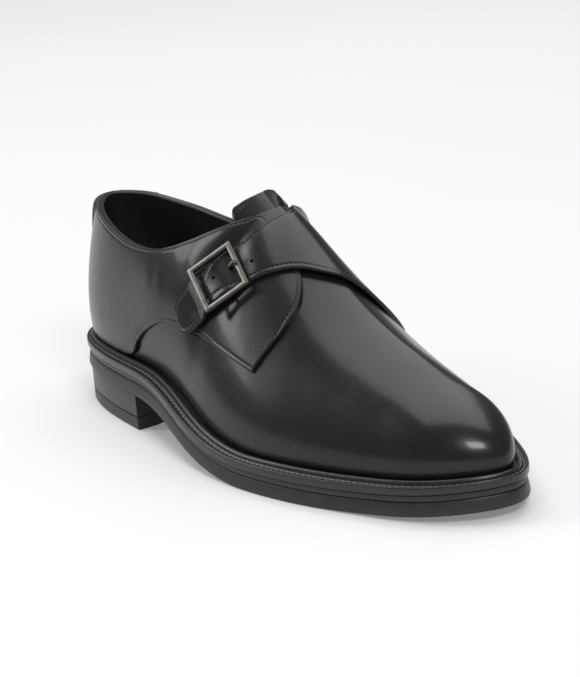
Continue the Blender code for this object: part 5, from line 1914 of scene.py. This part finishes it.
def tube(skin: Skin, points: Array, radii: Array, segments: int) -> None:
    """A round bar along points, closed at both ends.

    Args:
        skin: Where it is added.
        points: Its middle line, mm.
        radii: Its radius at each point, mm.
        segments: Faces round.
    """
    along = unit(np.gradient(points, axis=0))
    side = unit(np.cross(along[0], [0.31, 0.87, 0.38]))
    rings = []
    angle = np.linspace(0, 2 * math.pi, segments, endpoint=False)[:, None]
    for k, (point, way) in enumerate(zip(points, along)):
        side = unit(side - (side @ way) * way)
        other = np.cross(way, side)
        ring = point + radii[k] * (np.cos(angle) * side + np.sin(angle) * other)
        if k == 0:
            rings.append(np.broadcast_to(point, ring.shape))
        rings.append(ring)
    rings.append(np.broadcast_to(points[-1], rings[-1].shape))
    skin.grid(np.array(rings), close_columns=True)


def smooth_path(points: Rows, count: int) -> Array:
    """A smooth line through points."""
    p = np.asarray(points, float)
    run = np.r_[0, np.cumsum(np.linalg.norm(np.diff(p, axis=0), axis=1))]
    return smooth_table(np.column_stack([run, p]), np.linspace(0, run[-1], count))


@dataclass
class Buckle:
    """The rectangular buckle, its middle bar and its prong."""

    seat: BuckleSeat
    long: float = 24.0
    wide: float = 25.2
    bar: float = 2.4
    thick: float = 1.9
    lift: float = 8.45
    corner: float = 0.5
    soft: float = 0.32
    middle_radius: float = 0.8
    middle_lift: float = 5.1
    prong_radius: float = 0.75
    prong_gap: float = 0.3
    prong_aside: float = 0.8

    def outline(self, inset: float) -> Array:
        """The frame's rounded rectangle, moved in by inset."""
        a, b = self.long / 2 - inset, self.wide / 2 - inset
        r = max(self.corner - 0.35 * inset, 0.25)
        points = []
        for sa, sb, start in ((1, 1, 0), (-1, 1, 90), (-1, -1, 180), (1, -1, 270)):
            for angle in np.radians(np.linspace(start, start + 90, 7)):
                points.append((sa * (a - r) + r * math.cos(angle),
                               sb * (b - r) + r * math.sin(angle)))
            here = np.array(points[-1])
            turn = {0: (-(a - r), b), 90: (-a, -(b - r)), 180: (a - r, -b), 270: (a, b - r)}
            points.extend(here + (turn[start] - here) * t for t in np.linspace(0, 1, 9)[1:-1])
        return np.array(points)

    def frame_mesh(self) -> Mesh:
        """The frame with softened edges, and the middle bar between its long sides."""
        h, soft = self.thick / 2, self.soft
        section = [(0.0, -h + soft), (0.0, h - soft), (0.09, h - 0.09), (soft, h),
                   (self.bar - soft, h), (self.bar - 0.09, h - 0.09), (self.bar, h - soft),
                   (self.bar, -h + soft), (self.bar - 0.09, 0.09 - h), (self.bar - soft, -h),
                   (soft, -h), (0.09, 0.09 - h)]
        rows = []
        for inset, height in section:
            flat = self.outline(inset)
            rows.append(np.column_stack([flat, np.full(len(flat), self.lift + height)]))
        skin = Skin()
        skin.grid(self.seat.at(np.array(rows).transpose(1, 0, 2)), close_rows=True,
                  close_columns=True)
        end, low = self.wide / 2 - self.bar / 2, self.middle_lift
        route = ((0, -end, self.lift), (0, 0.3 - end, low + 1.2), (0, 1.3 - end, low),
                 (0, end - 1.3, low), (0, end - 0.3, low + 1.2), (0, end, self.lift))
        path = smooth_path(route, 40)
        tube(skin, self.seat.at(path), np.full(len(path), self.middle_radius), 16)
        return skin.mesh("buckle frame")

    def prong_mesh(self) -> Mesh:
        """The prong from beside the middle bar up on to the frame, thinner towards its tip."""
        low = self.middle_lift
        rest = self.lift + self.thick / 2 + self.prong_gap + self.prong_radius
        route = ((2.1, low - 0.9), (4.4, low - 0.7), (6.6, low + 1.0), (7.5, rest - 1.0),
                 (8.9, rest - 0.1), (self.long / 2 - 0.4, rest))
        path = smooth_path(tuple((a, self.prong_aside, c) for a, c in route), 48)
        radii = self.prong_radius * (1 - 0.16 * np.linspace(0, 1, len(path)) ** 3)
        radii[-3:] *= (0.97, 0.88, 0.62)
        skin = Skin()
        tube(skin, self.seat.at(path), radii, 18)
        return skin.mesh("prong")

    def build(self, finishes: Finishes) -> None:
        """Make the buckle, hang it under the root body and hide the CAD parts it stands for."""
        frame_piece = new_piece("buckle_frame_fine", self.frame_mesh(), finishes.metal, 42.0)
        place_piece(frame_piece, "buckle_metal", "buckle_frame")
        prong = new_piece("buckle_prong_fine", self.prong_mesh(), finishes.metal, 60.0)
        place_piece(prong, "buckle_metal", "buckle_prong")


# ---- the room --------------------------------------------------------------------------
@dataclass(frozen=True)
class SoftLight:
    """A rectangular soft light aimed at a point, in metres and watts."""

    name: str
    place: Point
    aim: Point
    size: tuple[float, float]
    power: float

    def build(self) -> None:
        """Hang the light."""
        light = bpy.data.lights.new(self.name, "AREA")
        light.shape = "RECTANGLE"
        light.size, light.size_y = self.size
        light.energy = self.power
        held = bpy.data.objects.new(self.name, light)
        held.location = self.place
        way = Vector(self.aim) - Vector(self.place)
        held.rotation_euler = way.to_track_quat("-Z", "Y").to_euler()
        bpy.context.scene.collection.objects.link(held)


@dataclass(frozen=True)
class Studio:
    """Pale floor, soft lights and the camera."""

    camera_place: Point = (0.8618, -0.5713, 0.3619)
    level_aim: Point = (0.0, 0.0006, 0.03)
    aim: Point = (0.0, 0.0006, 0.048)
    roll_deg: float = -4.953
    lens: float = 125.0
    sensor: float = 36.0
    floor_half: float = 6.0
    floor_tones: tuple[float, float] = (0.58, 0.585)
    floor_roughness: float = 0.75
    floor_glow: float = 0.2
    world_strength: float = 0.25
    world_seen: float = 0.93
    lights: tuple[SoftLight, ...] = (
        SoftLight("overhead", (-0.75, 0.52, 2.2), (-0.7, 0.5, 0.0), (2.6, 2.4), 53.0),
        SoftLight("side", (-1.0, -1.0, 0.9), (0.0, 0.0, 0.05), (0.5, 0.9), 8.0),
        SoftLight("front", (1.25, -0.4, 1.2), (0.05, 0.0, 0.04), (0.65, 0.45), 15.0),
    )

    def build_floor(self) -> None:
        """The plain pale floor, with a faint glow that keeps it even far from the lights."""
        made = bpy.data.materials.new("pale floor")
        made.use_nodes = True
        nodes = NodeTree(made.node_tree)
        where = nodes.add("ShaderNodeTexCoord").outputs["Object"]
        faint = nodes.ramp(nodes.noise(where, 3.0, 2.0), 0.3, 0.7, 0.0, 1.0)
        colour = nodes.blend(faint, *((tone, tone, tone) for tone in self.floor_tones))
        shader = made.node_tree.nodes["Principled BSDF"]
        made.node_tree.links.new(colour, shader.inputs["Base Color"])
        shader.inputs["Roughness"].default_value = self.floor_roughness
        shader.inputs["Emission Color"].default_value = (1.0, 1.0, 1.0, 1.0)
        shader.inputs["Emission Strength"].default_value = self.floor_glow
        mesh = bpy.data.meshes.new("floor")
        s = self.floor_half
        mesh.from_pydata([(-s, -s, 0), (s, -s, 0), (s, s, 0), (-s, s, 0)], [], [(0, 1, 2, 3)])
        mesh.materials.append(made)
        floor = bpy.data.objects.new("floor", mesh)
        bpy.context.scene.collection.objects.link(floor)

    def build_camera(self) -> None:
        """The camera, rolled about its level aim and then turned to the shoe's middle."""
        place = Vector(self.camera_place)
        first = (Vector(self.level_aim) - place).normalized()
        level = first.to_track_quat("-Z", "Y").to_matrix()
        rolled = level @ Matrix.Rotation(math.radians(self.roll_deg), 3, "Z")
        turn = first.rotation_difference((Vector(self.aim) - place).normalized()).to_matrix()
        data = bpy.data.cameras.new("camera")
        data.lens = self.lens
        data.sensor_width = self.sensor
        camera = bpy.data.objects.new("camera", data)
        camera.matrix_world = Matrix.Translation(place) @ (turn @ rolled).to_4x4()
        bpy.context.scene.collection.objects.link(camera)
        bpy.context.scene.camera = camera

    def build_world(self) -> None:
        """An even pale surround that shines less on the shoe than it shows."""
        world = bpy.data.worlds.new("surround")
        world.use_nodes = True
        nodes = NodeTree(world.node_tree)
        seen = nodes.add("ShaderNodeLightPath").outputs["Is Camera Ray"]
        strength = nodes.ramp(seen, 0.0, 1.0, self.world_strength, self.world_seen)
        background = world.node_tree.nodes["Background"]
        background.inputs["Color"].default_value = (1.0, 1.0, 1.0, 1.0)
        world.node_tree.links.new(strength, background.inputs["Strength"])
        bpy.context.scene.world = world

    def build(self) -> None:
        """Set the room up."""
        self.build_floor()
        self.build_world()
        self.build_camera()
        for light in self.lights:
            light.build()
        view = bpy.context.scene.view_settings
        view.view_transform = "Standard"
        view.look = "None"


# ---- the shoe --------------------------------------------------------------------------
@dataclass
class Upper:
    """The vamp, its lining, the quarters, the strap, the back strip and the tongue."""

    finishes: Finishes
    vamp: Shell = field(default_factory=lambda: Shell("vamp", 0.0, -1.15, 0.35))
    lining: Shell = field(default_factory=lambda: Shell("lining", -1.2, -2.0, 0.3))
    outer: OuterQuarter = field(default_factory=lambda: OuterQuarter(
        "quarter_outer_fine", 0.0, 19.0, creases=(
            Crease((10.4, 0.40), (11.0, 0.9), 0.35, 3.2),
            Crease((11.7, 0.40), (12.1, 0.92), 0.4, 3.6),
            Crease((13.0, 0.45), (13.2, 0.9), 0.3, 3.4))))
    strap: StrapQuarter = field(default_factory=lambda: StrapQuarter(
        "strap_quarter_fine", 0.0, 18.0, calm_rows=(
            (11.2, 1.6, 40), (8.5, 1.2, 40), (6.3, 0.8, 30), (4.4, 0.9, 20)), creases=(
            Crease((6.05, 0.12), (6.08, 0.78), 0.22, 0.55),
            Crease((6.2, 0.2), (6.24, 0.6), 0.18, 0.5),
            Crease((6.44, 0.3), (6.4, 0.88), 0.16, 0.6),
            Crease((9.2, 0.1), (9.5, 0.8), 0.25, 3.0))))
    strip: BackStrip = field(default_factory=lambda: BackStrip(
        "back_strip_fine", 0.05, 0.985, thick=1.3, middle_columns=8))
    tongue: Tongue = field(default_factory=lambda: Tongue(
        "tongue_fine", 0.0, 2.0, thick=2.2, edge_radius=0.6, lines=121, bars=11,
        calm_rows=((1.0, 4.0, 30),), end_lines=(0.0, 0.9, 1.4, 1.9, 2.4)))
    holes: Rows = ((-2.3, 1.6), (16.8, -2.1))
    hole_radius: float = 0.85
    prong_hole: Rows = ((7.2, 0.7),)
    prong_hole_radius: float = 1.2
    crisp_deg: float = 60.0

    def build(self) -> None:
        """Make every leather piece and its seams, hang them under the root body and hide the CAD
        parts they stand for.
        """
        f = self.finishes
        strap = self.strap.punch(self.strap.mesh(), self.holes, self.hole_radius)
        strap = self.strap.punch(strap, self.prong_hole, self.prong_hole_radius)
        for name, mesh, finish, slot, *nodes in (
                ("vamp_fine", self.vamp.mesh(), f.vamp, "vamp_leather", "upper"),
                ("lining_fine", self.lining.mesh(), f.lining, "vamp_leather"),
                (self.outer.name, self.outer.mesh(), f.quarter, "quarter_leather",
                 "quarter_outer"),
                (self.strap.name, strap, f.strap, "strap_leather", "quarter_inner_with_strap"),
                (self.strip.name, self.strip.mesh(), f.strip, "quarter_leather", "back_strip"),
                (self.tongue.name, self.tongue.mesh(), f.tongue, "tongue_leather", "tongue")):
            place_piece(new_piece(name, mesh, finish, self.crisp_deg), slot, *nodes)
        for name, piece, slot in (("quarter_stitches", self.outer, "quarter_leather"),
                                  ("strap_stitches", self.strap, "strap_leather"),
                                  ("back_strip_stitches", self.strip, "quarter_leather"),
                                  ("tongue_stitches", self.tongue, "tongue_leather")):
            place_piece(SETTING_OUT.sew(name, piece.seams(), f.thread, LEATHER_STITCH), slot)


def main() -> None:
    """Build the shoe and the room."""
    Studio().build()
    finishes = Finishes()
    SoleUnit().build(finishes)
    upper = Upper(finishes)
    upper.build()
    Buckle(upper.strap.find_seat()).build(finishes)


if __name__ == "__main__":
    main()
